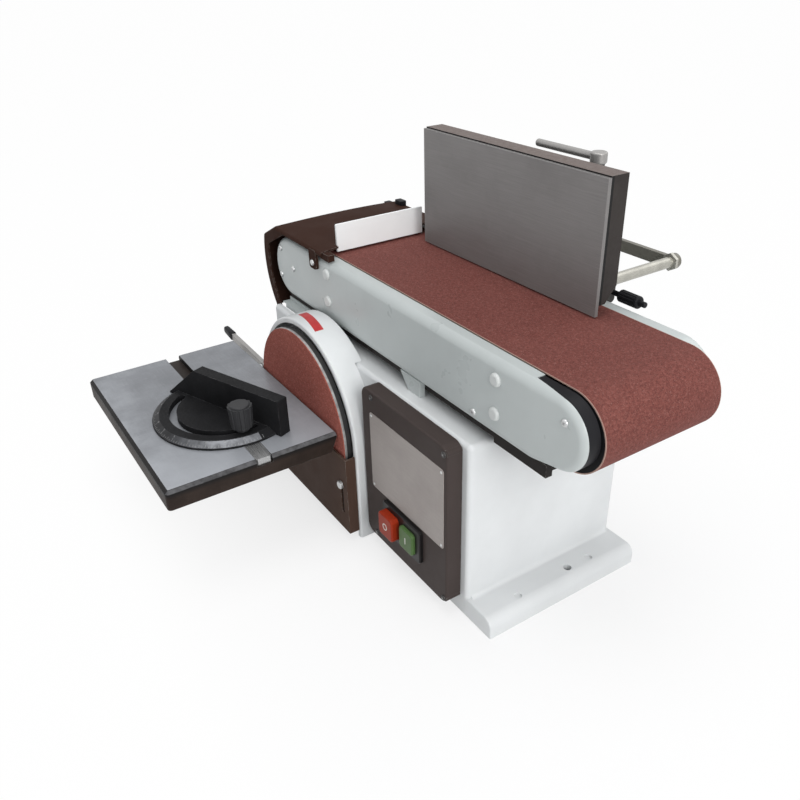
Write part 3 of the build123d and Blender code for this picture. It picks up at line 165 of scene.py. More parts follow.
def enamel(name, colour, rough, grain=700, depth=0.00006, wear=None, spec=0.4):
    """Sprayed paint: orange peel, faint clouding, specks and thin wear on sharp edges."""
    worn = (0.3, 0.29, 0.27)
    s = Shader(name, Specular_IOR_Level=spec)
    body = s.mix(s.cloud(9, 4), shade(colour, 0.93), shade(colour, 1.05))
    specks = s.span(s.noise(900, 2, 0.7), 0.68, 0.74)
    body = s.mix(s.times(specks, 0.22), body, shade(colour, 0.55))
    if wear:
        chips = s.times(s.edge(wear), s.span(s.noise(160, 5, 0.7), 0.45, 0.62))
        body = s.mix(s.times(chips, 0.75), body, worn)
    gloss = s.cloud(24, 3, rough - 0.05, rough + 0.08)
    peel = Bump(s.noise(grain, 2), strength=0.35, depth=depth)
    waves = Bump(s.noise(60, 2), strength=0.03, depth=0.0004)
    return s.finish(body, gloss, bumps=(peel, waves))


def moulded(name, colour, rough, grain=1500, spec=0.25):
    """Moulded plastic with a fine eroded grain and slightly paler rubbed edges."""
    rubbed = tuple(c * 1.6 + 0.006 for c in colour)
    s = Shader(name, Specular_IOR_Level=spec)
    body = s.mix(s.cloud(14, 4), shade(colour, 0.85), shade(colour, 1.15))
    body = s.mix(s.times(s.edge(0.0012), 0.35), body, rubbed)
    gloss = s.cloud(40, 3, rough - 0.06, rough + 0.08)
    eroded = Bump(s.noise(grain, 2), strength=0.30, depth=0.00008)
    return s.finish(body, gloss, bumps=(eroded,))


def sand_casting(name, colour, rough, spec):
    """Painted casting: coarse sand texture under the paint, edges rubbed to metal."""
    metal = (0.22, 0.22, 0.23)
    s = Shader(name, Specular_IOR_Level=spec)
    body = s.mix(s.cloud(30, 5), shade(colour, 0.7), shade(colour, 1.3))
    rub = s.times(s.edge(0.0011), s.span(s.noise(130, 5, 0.7), 0.42, 0.60))
    body = s.mix(s.times(rub, 0.4), body, metal)
    gloss = s.cloud(300, 3, rough - 0.12, rough + 0.10)
    sand = Bump(s.noise(520, 4, 0.65), strength=0.55, depth=0.00016)
    return s.finish(body, gloss, bumps=(sand,))


def brushed(name, colour, rough, metal):
    """Ground metal: long scratches along X, cloudy stains and paler edges."""
    s = Shader(name, Metallic=metal)
    scratch = s.noise(2600, 3, 0.6, stretch=(0.012, 1, 1))
    stain = s.noise(18, 5, 0.6)
    body = s.mix(s.span(scratch, 0.32, 0.68), shade(colour, 0.86), shade(colour, 1.10))
    body = s.mix(s.span(stain, 0.50, 0.72, 0, 0.30), body, shade(colour, 0.72))
    body = s.mix(s.times(s.edge(0.0009), 0.5), body, shade(colour, 1.5))
    gloss = s.math("ADD", s.span(scratch, 0.3, 0.7, -0.06, 0.08),
                   s.span(stain, 0.3, 0.7, rough - 0.05, rough + 0.08))
    return s.finish(body, gloss, bumps=(Bump(scratch, strength=0.35, depth=0.00003),))


def turned(name, colour, rough, metal=1.0):
    """Turned or plated steel with fine irregular tooling marks."""
    s = Shader(name, Metallic=metal)
    marks = s.noise(1800, 3, 0.6, stretch=(1, 0.25, 1))
    body = s.mix(s.cloud(60, 4), shade(colour, 0.82), shade(colour, 1.08))
    body = s.mix(s.span(s.noise(350, 4, 0.7), 0.62, 0.75, 0, 0.35), body, shade(colour, 0.5))
    gloss = s.span(marks, 0.3, 0.7, rough - 0.07, rough + 0.10)
    return s.finish(body, gloss, bumps=(Bump(marks, strength=0.25, depth=0.00003),))


def grit(name):
    """Coated abrasive: red-brown grains with pale and dark ones among them, drifting and mottled."""
    grain = 1500
    s = Shader(name, Specular_IOR_Level=0.2)
    tone = s.node("SeparateColor")
    s.put(tone.inputs[0], s.cells(grain, "Color"))
    red, green, blue = (tone.outputs[key] for key in ("Red", "Green", "Blue"))
    body = s.mix(s.span(red, 0.0, 1.0), (0.102, 0.028, 0.023), (0.212, 0.068, 0.056))
    pale = s.times(s.span(green, 0.90, 0.97), 0.55)
    body = s.mix(pale, body, (0.31, 0.165, 0.142))
    dark = s.times(s.span(blue, 0.90, 0.97), 0.6)
    body = s.mix(dark, body, (0.045, 0.015, 0.013))
    drift = s.noise(11, 4, 0.6)
    body = s.mix(s.span(drift, 0.35, 0.75, 0, 0.25), body, (0.213, 0.080, 0.067))
    mottle = s.noise(330, 4, 0.7)
    body = s.mix(s.span(mottle, 0.44, 0.64, 0, 0.34), body, (0.075, 0.021, 0.017))
    body = s.mix(s.span(mottle, 0.46, 0.32, 0, 0.60), body, (0.250, 0.088, 0.073))
    grains = Bump(s.times(s.cells(grain), -1.0), strength=0.5, depth=0.00025)
    rough = s.span(red, 0.0, 1.0, 0.72, 0.95)
    return s, body, grains, rough


def belt_material():
    """Sanding belt whose cut edges show its pale cloth."""
    s, body, grains, rough = grit("belt_grit")
    cut_edge = s.span(s.math("ABSOLUTE", s.axis("Y")), 0.0742, 0.0748)
    cloth = s.mix(s.noise(2200, 2), (0.36, 0.20, 0.16), (0.56, 0.42, 0.36))
    waves = Bump(s.noise(45, 3), strength=0.08, depth=0.0006)
    return s.finish(s.mix(cut_edge, body, cloth), rough, bumps=(grains, waves))


def disc_material():
    """Abrasive disc, paler than the belt."""
    s, body, grains, rough = grit("disc_grit")
    body = s.mix(1.0, body, (2.05, 1.86, 1.72), "MULTIPLY")
    return s.finish(body, rough, bumps=(grains,))


def disc_plate_material():
    """Cast disc darkened as painted shade for the shaded gap inside the guard, with a bright turned line
    along its front edge.
    """
    s = Shader("disc_iron_painted_shade", Specular_IOR_Level=0.2)
    line = s.span(s.axis("Y"), -0.1462, -0.1470)
    # Painted shade: the plate is kept near black, standing in for the shaded gap between disc and guard.
    dark = s.mix(s.cloud(30, 5), (0.016, 0.016, 0.017), (0.030, 0.029, 0.029))
    bright = s.mix(s.span(s.noise(90, 4), 0.35, 0.65), (0.24, 0.24, 0.24), (0.48, 0.48, 0.47))
    sand = Bump(s.noise(520, 4, 0.65), strength=0.4, depth=0.0001)
    return s.finish(s.mix(line, dark, bright), s.span(line, 0, 1, 0.55, 0.32), s.times(line, 0.6), (sand,))


def table_material():
    """Ground top face, clouded, with painted highlight that brightens it towards its near end and along
    its front edge, on a dark painted casting.
    """
    iron = (0.262, 0.272, 0.292)
    s = Shader("table_top_and_sides", Specular_IOR_Level=0.15)
    x, y, z = (s.axis(letter) for letter in "XYZ")
    top = s.times(s.span(z, 0.1540, 0.1546), s.span(s.axis("Z", "Normal"), 0.8, 0.95))

    scratch = s.noise(2400, 3, 0.6, stretch=(0.012, 1, 1))
    arcs = s.noise(1500, 2, 0.6, stretch=(1, 0.03, 1), turn=(0, 0, 0.5))
    stain = s.noise(13, 6, 0.62)
    ground = s.mix(s.span(scratch, 0.32, 0.68), shade(iron, 0.84), shade(iron, 1.10))
    ground = s.mix(s.span(stain, 0.42, 0.66, 0, 0.55), ground, shade(iron, 0.62))
    ground = s.mix(s.span(stain, 0.44, 0.30, 0, 0.45), ground, shade(iron, 1.35))
    ground = s.mix(s.span(arcs, 0.56, 0.70, 0, 0.20), ground, shade(iron, 1.45))
    # Painted highlight: the ground face is lightened towards its near end, at +X.
    ground = s.mix(s.span(x, -0.12, 0.0, 0, 0.55), ground, shade(iron, 1.75))
    # Painted highlight along the front edge, broken up by noise.
    front_edge_highlight = s.times(s.span(y, -0.325, -0.3615), s.span(s.noise(30, 4), 0.35, 0.6))
    ground = s.mix(s.times(front_edge_highlight, 0.5), ground, shade(iron, 1.7))

    paint = s.mix(s.cloud(40, 5), (0.020, 0.013, 0.010), (0.034, 0.023, 0.018))
    paint = s.mix(s.span(z, 0.1435, 0.1495), paint, (0.008, 0.007, 0.007))
    bevel = s.times(s.span(x, 0.0138, 0.0146), s.span(z, 0.1508, 0.1514))
    bare = s.times(bevel, s.span(s.noise(70, 5, 0.7), 0.36, 0.62, 0.35, 1.0))
    paint = s.mix(s.times(bare, 0.55), paint, (0.20, 0.20, 0.21))
    rub = s.times(s.edge(0.0011), s.span(s.noise(140, 5, 0.7), 0.42, 0.62))
    paint = s.mix(s.times(rub, 0.35), paint, (0.30, 0.30, 0.30))

    rough = s.math("ADD", s.span(top, 0, 1, 0.50, 0.36), s.span(stain, 0.3, 0.7, -0.05, 0.08))
    lines = Bump(s.times(scratch, top), strength=0.3, depth=0.00003)
    sand = Bump(s.times(s.noise(600, 4), s.math("SUBTRACT", 1.0, top)), strength=0.4, depth=0.00012)
    return s.finish(s.mix(top, paint, ground), rough, s.times(top, 0.30), (lines, sand))


def scale_material():
    """Printed scale band, with a silvery painted reflection towards one end."""
    s = Shader("scale_band", Specular_IOR_Level=0.2)
    # Painted reflection: the rubbed mask marks where the band is painted silvery and made more metallic,
    # towards its -X end.
    rubbed = s.times(s.span(s.axis("X"), -0.085, -0.045), s.span(s.noise(120, 4), 0.30, 0.60, 0.5, 1.0))
    dark = s.mix(s.cloud(60, 4), (0.012, 0.012, 0.013), (0.024, 0.024, 0.026))
    body = s.mix(rubbed, dark, (0.155, 0.16, 0.172))
    print_grain = Bump(s.noise(900, 3), strength=0.3, depth=0.00005)
    return s.finish(body, s.span(rubbed, 0, 1, 0.5, 0.34), s.times(rubbed, 0.5), (print_grain,))


def fence_block_material():
    """Dark painted block with a painted shadow as a black band in the gap behind its face, and painted
    highlight that makes its up-facing top a paler brown-grey.
    """
    s = Shader("fence_block_paint", Specular_IOR_Level=0.22)
    # Painted highlight: faces turned upwards are painted a paler brown-grey.
    top = s.span(s.axis("Z", "Normal"), 0.6, 0.9)
    dark = s.mix(s.cloud(25, 5), (0.023, 0.0185, 0.017), (0.034, 0.0285, 0.026))
    # Painted shadow: a black band along the gap behind the face plate.
    dark = s.mix(s.span(s.axis("Y"), 0.0502, 0.0496), dark, (0.005, 0.005, 0.005))
    lines = s.noise(1800, 3, 0.6, stretch=(0.02, 1, 1))
    pale = s.mix(s.span(lines, 0.3, 0.7), (0.100, 0.076, 0.069), (0.158, 0.124, 0.112))
    grain = Bump(s.noise(900, 3), strength=0.3, depth=0.0001)
    return s.finish(s.mix(top, dark, pale), s.cloud(200, 3, 0.46, 0.62), bumps=(grain,))


def winding_material():
    """Laminated stator ring with lacquered copper ends."""
    s = Shader("stator_and_windings", Specular_IOR_Level=0.5, Metallic=0.7)
    along = s.axis("Y")
    copper = s.math("MAXIMUM", s.span(along, 0.0296, 0.0304), s.span(along, -0.0546, -0.0554))
    sheets = s.noise(3000, 1, 0.5, stretch=(0.02, 1, 0.02))
    steel = s.mix(s.span(sheets, 0.4, 0.6), (0.10, 0.10, 0.105), (0.24, 0.24, 0.25))
    strands = s.noise(900, 2, 0.5, stretch=(1, 0.3, 1))
    wire = s.mix(s.span(strands, 0.35, 0.65), (0.30, 0.09, 0.03), (0.62, 0.24, 0.09))
    return s.finish(s.mix(copper, steel, wire), s.span(copper, 0, 1, 0.5, 0.32),
                    bumps=(Bump(strands, strength=0.5, depth=0.0004),))


def sticker_material():
    """Bare red label with small scuffs."""
    s = Shader("label_red", Specular_IOR_Level=0.35)
    body = s.mix(s.cloud(70, 4), (0.42, 0.028, 0.030), (0.52, 0.040, 0.042))
    scuffs = s.span(s.noise(800, 4, 0.7), 0.62, 0.75, 0, 0.4)
    body = s.mix(scuffs, body, (0.66, 0.25, 0.25))
    return s.finish(body, s.cloud(50, 3, 0.3, 0.45),
                    bumps=(Bump(s.noise(500, 2), strength=0.1, depth=0.00005),))


SHEET_PAINT = {"grain": 1300, "depth": 0.00008, "wear": 0.0012}
FINE_GRAIN = 2200

WHITE = enamel("enamel_white", (0.68, 0.695, 0.70), 0.36)
# Painted light: a brightened copy of the white enamel for the work stop.
STOP_WHITE_PAINTED_LIGHT = enamel("enamel_stop_painted_light", (0.93, 0.95, 0.95), 0.40)
CASING = enamel("enamel_casing", (0.49, 0.525, 0.52), 0.31, grain=620, spec=0.5)
HOOD_BROWN = enamel("enamel_hood", (0.038, 0.018, 0.013), 0.60, spec=0.03, **SHEET_PAINT)
BROWN = enamel("enamel_brown", (0.072, 0.043, 0.032), 0.54, spec=0.05, **SHEET_PAINT)
BOX_BROWN = enamel("enamel_box", (0.052, 0.040, 0.037), 0.52, spec=0.12, **SHEET_PAINT)
PAN_BLACK = enamel("enamel_pan", (0.016, 0.013, 0.012), 0.50, spec=0.12, **SHEET_PAINT)
MOTOR_GREY = enamel("enamel_motor", (0.12, 0.13, 0.14), 0.45, grain=900, depth=0.00008, wear=0.0012)
# Painted highlight: the casing paint, made paler on the dome heads.
DOME_PAINT_HIGHLIGHT = enamel("dome_paint_highlight", (0.60, 0.62, 0.61), 0.30, grain=900)
BLACK = moulded("plastic_black", (0.010, 0.010, 0.012), 0.46, spec=0.14)
SWITCH_BLACK = moulded("switch_black", (0.010, 0.009, 0.009), 0.36, FINE_GRAIN)
KNOB_GREY = moulded("knob_charcoal", (0.030, 0.030, 0.032), 0.50)
STOP_RED = moulded("button_red", (0.28, 0.026, 0.008), 0.36, FINE_GRAIN, 0.12)
START_GREEN = moulded("button_green", (0.070, 0.132, 0.042), 0.36, FINE_GRAIN, 0.2)
MARK_WHITE = moulded("button_marks", (0.62, 0.60, 0.56), 0.5, FINE_GRAIN, 0.3)
SCALE_MARK = moulded("scale_marks", (0.26, 0.26, 0.26), 0.5, FINE_GRAIN, 0.3)
RUBBER = moulded("belt_rubber", (0.020, 0.019, 0.018), 0.7, grain=700)
CAST_BLACK = sand_casting("casting_black", (0.013, 0.013, 0.014), 0.50, 0.05)
GREY_IRON = sand_casting("iron_grey", (0.060, 0.056, 0.052), 0.6, 0.22)
FENCE_STEEL = brushed("fence_steel", (0.205, 0.196, 0.193), 0.46, 0.30)
BAR_STEEL = brushed("bar_steel", (0.46, 0.46, 0.46), 0.30, 0.8)
OLIVE = brushed("tie_bar_metal", (0.165, 0.157, 0.132), 0.42, 0.12)
CLAMP_METAL = brushed("clamp_metal", (0.34, 0.33, 0.32), 0.42, 0.55)
PLATE_GREY = brushed("plate_grey", (0.345, 0.31, 0.292), 0.46, 0.12)
STEEL = turned("steel_bright", (0.62, 0.61, 0.59), 0.26)
ZINC = turned("fastener_zinc", (0.62, 0.63, 0.63), 0.34, 0.8)
BOX_SCREW = turned("screw_black", (0.050, 0.048, 0.047), 0.40, 0.6)
# Painted shade: darker metal for the inlays that stand in for screw recesses.
RECESS_SHADE = turned("fastener_recess_shade", (0.30, 0.30, 0.30), 0.5, 0.6)
ROD_STEEL = turned("rod_steel", (0.44, 0.43, 0.385), 0.34, 0.7)
LABEL_RED = sticker_material()

FINISH = {
    WHITE: ("base_casting", "disc_guard", "dust_port"),
    STOP_WHITE_PAINTED_LIGHT: ("work_stop",),
    CASING: ("front_casing", "rear_casing"),
    HOOD_BROWN: ("belt_hood",),
    BROWN: ("lower_guard", "pulley_cover", "pivot_pedestal"),
    BOX_BROWN: ("switch_box",),
    PAN_BLACK: ("lower_belt_guard",),
    MOTOR_GREY: ("motor_housing", "motor_end_bells", "run_capacitor", "motor_fan"),
    DOME_PAINT_HIGHLIGHT: ("casing_screws",),
    BLACK: ("nose_guard", "tracking_knob", "cable_gland", "tilt_lock_knob"),
    SWITCH_BLACK: ("switch_body",),
    KNOB_GREY: ("mitre_knob",),
    STOP_RED: ("stop_button",),
    START_GREEN: ("start_button",),
    RUBBER: ("drive_belt",),
    CAST_BLACK: ("mitre_head", "trunnion_cheeks", "table_quadrants", "drive_drum", "idler_drum"),
    GREY_IRON: ("arm_frame", "fence_guide", "tracking_bracket", "idler_yoke", "motor_pulley",
                "drum_pulley"),
    FENCE_STEEL: ("fence_face",),
    BAR_STEEL: ("mitre_bar",),
    OLIVE: ("fence_tie_bar",),
    CLAMP_METAL: ("fence_clamp_lever", "table_clamp_lever"),
    STEEL: ("motor_shaft", "drive_shaft", "shaft_bearings", "idler_bearings", "tension_spring",
            "rotor_core", "platen"),
    ZINC: ("m6_bolts", "small_screws", "bracket_studs"),
    BOX_SCREW: ("m4_screws",),
    ROD_STEEL: ("fence_rods",),
    belt_material(): ("sanding_belt",),
    disc_material(): ("abrasive_disc",),
    disc_plate_material(): ("disc_plate",),
    table_material(): ("work_table",),
    fence_block_material(): ("fence_block",),
    winding_material(): ("motor_stator",),
}
for finish, names in FINISH.items():
    for name in names:
        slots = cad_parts[name].data.materials
        slots.clear()
        slots.append(finish)


def link_object(name, data):
    obj = bpy.data.objects.new(name, data)
    bpy.context.collection.objects.link(obj)
    return obj


def camera():
    data = bpy.data.cameras.new("camera")
    data.lens = 35.567
    data.sensor_width = 36.0
    place = Matrix.Translation((0.74492, -0.51975, 0.66576))
    right = Vector((0.5467304, 0.8369225, -0.0254296))
    up = Vector((-0.4065627, 0.2918975, 0.8657382))
    back = Vector((0.7319786, -0.4629867, 0.4998507))
    obj = link_object("camera", data)
    obj.matrix_world = place @ Matrix((right, up, back)).transposed().to_4x4()
    bpy.context.scene.camera = obj


def white_for_camera(tree, lit, output, share):
    """Shows white to camera, mirror and clear rays by that share, a value or a socket, and the lit
    shader to all others."""
    link = tree.links.new

    def calc(operation, a, b):
        made = tree.nodes.new("ShaderNodeMath")
        made.operation = operation
        for socket, value in zip(made.inputs, (a, b)):
            if isinstance(value, bpy.types.NodeSocket):
                link(value, socket)
            else:
                socket.default_value = value
        return made.outputs[0]

    path = tree.nodes.new("ShaderNodeLightPath").outputs
    seen = calc("MAXIMUM", path["Is Camera Ray"], path["Is Glossy Ray"])
    seen = calc("MAXIMUM", seen, path["Is Transmission Ray"])
    in_world = output.type == "OUTPUT_WORLD"
    white = tree.nodes.new("ShaderNodeBackground" if in_world else "ShaderNodeEmission")
    white.inputs["Color"].default_value = (1, 1, 1, 1)
    mix = tree.nodes.new("ShaderNodeMixShader")
    link(calc("MULTIPLY", seen, share), mix.inputs["Fac"])
    link(lit.outputs[0], mix.inputs[1])
    link(white.outputs[0], mix.inputs[2])
    link(mix.outputs[0], output.inputs["Surface"])


def sky():
    world = bpy.data.worlds.new("studio")
    world.use_nodes = True
    bpy.context.scene.world = world
    nodes = world.node_tree.nodes
    nodes["Background"].inputs["Color"].default_value = (0.96, 0.98, 1.0, 1)
    nodes["Background"].inputs["Strength"].default_value = 0.42
    white_for_camera(world.node_tree, nodes["Background"], nodes["World Output"], 1.0)


def floor():
    """Pale paper that turns white away from the base, so that the shadow stays and the rest fades."""
    half = 40.0
    footprint = (0.27, 0.12, 0.0)
    fade, white_near, white_far = 0.30, 0.70, 0.98
    mesh = bpy.data.meshes.new("floor")
    corners = [(-half, -half, 0), (half, -half, 0), (half, half, 0), (-half, half, 0)]
    mesh.from_pydata(corners, [], [(0, 1, 2, 3)])
    link_object("floor", mesh)

    paper = Shader("floor_paper", Roughness=0.9, Specular_IOR_Level=0.1)
    tone = paper.mix(paper.noise(2.0, 3), (0.82, 0.82, 0.82), (0.84, 0.84, 0.84))
    mesh.materials.append(paper.finish(tone))
    away = paper.texture.outputs["Object"]
    for operation, other in (("ABSOLUTE", None), ("SUBTRACT", footprint), ("MAXIMUM", (0.0, 0.0, 0.0))):
        step = paper.node("VectorMath", operation=operation)
        paper.put(step.inputs[0], away)
        paper.put(step.inputs[1], other)
        away = step.outputs["Vector"]
    distance = paper.node("VectorMath", operation="LENGTH")
    paper.put(distance.inputs[0], away)
    share = paper.span(distance.outputs["Value"], 0.0, fade, white_near, white_far)
    white_for_camera(paper.tree, paper.bsdf, paper.tree.nodes["Material Output"], share)


def area_light(name, place, aim, size, power, colour=(1, 1, 1)):
    data = bpy.data.lights.new(name, "AREA")
    data.shape = "DISK"
    data.size = size
    data.energy = power
    data.color = colour
    obj = link_object(name, data)
    obj.location = place
    obj.rotation_euler = (Vector(aim) - Vector(place)).to_track_quat("-Z", "Y").to_euler()


def studio():
    bpy.context.scene.view_settings.view_transform = "Standard"
    sky()
    floor()
    area_light("key", (2.3, -0.35, 1.3), (0, 0, 0.2), size=1.6, power=37)
    area_light("top", (0.0, -0.4, 3.2), (0, -0.05, 0.2), size=2.2, power=40)
    area_light("fill", (-0.9, -2.2, 1.2), (-0.05, 0, 0.2), size=1.8, power=2.5, colour=(0.95, 0.98, 1.0))
    area_light("back", (0.2, 2.0, 1.8), (0, 0, 0.2), size=1.6, power=8)


def piece(name, mesh_data, body, material):
    """Links a mesh made from a bmesh, gives it its finish and lets it ride on a body."""
    mesh = bpy.data.meshes.new(name)
    mesh_data.to_mesh(mesh)
    mesh_data.free()
    mesh.materials.append(material)
    obj = link_object(name, mesh)
    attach(obj, body)
    return obj


def smooth(obj, angle=35):
    """Smooth shading with the sharp edges kept."""
    for face in obj.data.polygons:
        face.use_smooth = True
    work = bmesh.new()
    work.from_mesh(obj.data)
    bmesh.ops.recalc_face_normals(work, faces=work.faces[:])
    limit = math.radians(angle)
    for edge in work.edges:
        edge.smooth = len(edge.link_faces) == 2 and edge.calc_face_angle(0.0) < limit
    work.to_mesh(obj.data)
    work.free()


def circle(r, steps, start=0.0):
    """Points round a circle, or the corners of a regular polygon."""
    angles = [start + CIRCLE * i / steps for i in range(steps)]
    return [(r * math.cos(a), r * math.sin(a)) for a in angles]


def rounded(u0, u1, v0, v1, r, steps=6):
    """Points of a rounded rectangle, anticlockwise."""
    corners = ((u1 - r, v1 - r, 0), (u0 + r, v1 - r, 90), (u0 + r, v0 + r, 180), (u1 - r, v0 + r, 270))
    points = []
    for centre_u, centre_v, start in corners:
        for i in range(steps + 1):
            a = math.radians(start + 90 * i / steps)
            points.append((centre_u + r * math.cos(a), centre_v + r * math.sin(a)))
    return points


def cross(r, half):
    """Outline of a cross with arms of length r."""
    return [(half, half), (half, r), (-half, r), (-half, half), (-r, half), (-r, -half),
            (-half, -half), (-half, -r), (half, -r), (half, -half), (r, -half), (r, half)]


def facing(face, x=0.0, z=0.0, side=-1):
    """Places u, v about (x, z) on the plane y = face, with w standing off towards that side of Y."""
    return lambda u, v, w: (x + u, face + side * w, z + v)


def standing(foot):
    """Places u, v on the plane z = foot, with w upwards."""
    return lambda u, v, w: (u, v, foot + w)


def sweep(mesh_data, rings, closed=False):
    """Skin through rings of equal length, in millimetres, capped at both ends or closed to a loop."""
    loops = [[mesh_data.verts.new(Vector(point) * MM) for point in ring] for ring in rings]
    count = len(loops[0])
    following = loops[1:] + loops[:1] if closed else loops[1:]
    for a, b in zip(loops, following):
        for i in range(count):
            j = (i + 1) % count
            mesh_data.faces.new((a[i], a[j], b[j], b[i]))
    if not closed:
        mesh_data.faces.new(loops[0][::-1])
        mesh_data.faces.new(loops[-1])


def prism(mesh_data, outline, place, depth):
    """Extrudes an outline of (u, v): place(u, v, w) gives the point, and w runs from 0 to depth."""
    sweep(mesh_data, [[place(u, v, w) for u, v in outline] for w in (0, depth)])


def turned_rings(profile, place, steps):
    """Rings of a profile of (r, w) turned about w, for sweep."""
    return [[place(u, v, w) for u, v in circle(r, steps)] for r, w in profile]


def data_plate():
    """Bare plate on the switch box, with a rivet in each corner."""
    left, right, bottom, top = 64, 210, 96, 200
    corner, sheet, inset = 4, 0.5, 4
    work = bmesh.new()
    prism(work, rounded(left, right, bottom, top, corner), facing(SWITCH_BOX_FACE), sheet)
    smooth(piece("rating_plate_bare", work, "base", PLATE_GREY))

    rivet = ((1.8, sheet), (1.8, 0.8), (1.2, 1.3), (0.4, 1.5))
    work = bmesh.new()
    for x in (left + inset, right - inset):
        for z in (bottom + inset, top - inset):
            sweep(work, turned_rings(rivet, facing(SWITCH_BOX_FACE, x, z), 16))
    smooth(piece("rating_plate_rivets", work, "base", ZINC))


def guard_label():
    """Bare label wrapped over the disc guard's rim, set a little askew."""
    low, high = GUARD_RADIUS - 0.1, GUARD_RADIUS + 0.15
    start, turn, steps = 77, 28, 24
    near, width, slant = -134.0, 12.0, 7.5
    rings = []
    for i in range(steps + 1):
        a = math.radians(start + turn * i / steps)
        y0 = near + slant * i / steps
        y1 = y0 + width
        rings.append([(MOTOR_X + r * math.cos(a), y, MOTOR_Z + r * math.sin(a))
                      for y, r in ((y0, low), (y1, low), (y1, high), (y0, high))])
    work = bmesh.new()
    sweep(work, rings)
    smooth(piece("guard_label_bare", work, "base", LABEL_RED))


def slot_strips():
    """Black strips behind the lower guard's two slots, as painted shade for the dark inside of the slots.
    """
    half, bottom, top, corner = 4.5, 37, 111, 2
    face, thick = -151.3, 0.9
    work = bmesh.new()
    for x in (26.0, -192.8):
        prism(work, rounded(x - half, x + half, bottom, top, corner, 3), facing(face), thick)
    smooth(piece("slot_strips", work, "base", BLACK))


def lever_grip():
    """Black sleeve pushed over the end of the table's clamp lever."""
    pivot, end = Vector((-222, -140, 139)), Vector((-357, -140, 148))
    squareness, sharp_angle = 0.6, 50
    # Distance past the lever's end, half width and half height
    stations = ((-26, 4.4, 6.2), (-25, 5.0, 6.8), (-14, 4.8, 6.2), (-2, 4.6, 5.8), (2, 4.2, 5.2),
                (4.5, 3.0, 3.8), (5.5, 1.2, 1.6))
    lever = end - pivot
    along = lever.normalized()
    up = Vector((0, 1, 0)).cross(along)
    rings = []
    for offset, half_width, half_height in stations:
        centre = pivot + along * (lever.length + offset)
        ring = []
        for c, d in circle(1.0, 24):
            across = math.copysign(abs(c) ** squareness, c) * half_width
            rise = math.copysign(abs(d) ** squareness, d) * half_height
            ring.append(centre + Vector((0, across, 0)) + up * rise)
        rings.append(ring)
    work = bmesh.new()
    sweep(work, rings)
    smooth(piece("clamp_lever_grip", work, "table_clamp", BLACK), sharp_angle)


def rod_nuts():
    """Hexagon nuts that lock the tie bar on the fence rods."""
    rod_z = 347
    hexagon = circle(10.6, 6, math.radians(30))
    # Place along Y and share of the full size, for the chamfers
    stations = ((196.9, 0.9), (196.4, 1.0), (192.6, 1.0), (192.1, 0.9))
    work = bmesh.new()
    for x in (195, -40):
        sweep(work, [[(x + k * u, y, rod_z + k * v) for u, v in hexagon] for y, k in stations])
    smooth(piece("fence_rod_nuts", work, "fence", ROD_STEEL))


def hood_buffers():
    """Small black blocks on the far rim of the hood."""
    near, far, corner, edge = 87, 97, 1.5, 0.6
    work = bmesh.new()
    for x0, x1, low, high in ((-213, -197, 338.5, 346.2), (-243, -232, 324.0, 336.5)):
        prism(work, rounded(x0, x1, near, far, corner, 3), standing(low), high - low)
    bmesh.ops.bevel(work, geom=work.edges[:], offset=edge * MM, segments=2, affect="EDGES", profile=0.7)
    smooth(piece("hood_buffers", work, "belt_arm", BLACK))


def chip_shield():
    """Pale sheet angle under the arm's drive end that closes the view into the base's pocket."""
    end, lip_end, root = -218, -209, -150
    near, far, sheet = -100.8, -88.2, 1.2
    low, foot, high = 227.6, 232.6, 238.8

    def section(x, lip):
        """Z-shaped cut through the sheet, whose front lip reaches down to the height given."""
        outline = ((near, lip), (near + sheet, lip), (near + sheet, foot), (far, foot), (far, high),
                   (far - sheet, high), (far - sheet, foot + sheet), (near, foot + sheet), (near, foot))
        return [(x, y, z) for y, z in outline]

    work = bmesh.new()
    sweep(work, [section(end, foot), section(lip_end, foot), section(lip_end, low), section(root, low)])
    bmesh.ops.remove_doubles(work, verts=work.verts[:], dist=0.01 * MM)
    smooth(piece("chip_shield", work, "belt_arm", CASING))


def recesses(name, heads, size, turn, body):
    """Cross-shaped dark inlays in screw heads, painted shade standing in for their recesses, each given as
    (x, face, z, side of Y) and turned on from the last.
    """
    sunk, depth, turn_step, slimness = 0.4, 0.5, 23, 0.22
    work = bmesh.new()
    for index, (x, face, z, side) in enumerate(heads):
        a = math.radians(turn + turn_step * index)
        outline = [(u * math.cos(a) - v * math.sin(a), u * math.sin(a) + v * math.cos(a))
                   for u, v in cross(size, size * slimness)]
        prism(work, outline, facing(face - side * sunk, x, z, side), depth)
    smooth(piece(name, work, body, RECESS_SHADE))


def screw_recesses():
    """Painted shade for the recesses in the screws of the switch box and of both casings."""
    head, short_end = 1.8, 320
    box = ((69.0, 220.0), (210.0, 220.0), (69.0, 26.0), (210.0, 26.0))
    heads = [(x, SWITCH_BOX_FACE - head, z, -1) for x, z in box]
    recesses("box_screw_recess_shade", heads, 1.6, 30, "base")
    rim = ((211.5, 258.5), (337.0, 308.5), (-217.0, 311.0), (-221.5, 272.0), (-183.5, 290.5))
    heads = [(x, -CASING_SCREW_FACE, z, -1) for x, z in rim]
    heads += [(x, CASING_SCREW_FACE, z, 1) for x, z in rim if x < short_end]
    recesses("casing_screw_recess_shade", heads, 1.7, 12, "belt_arm")


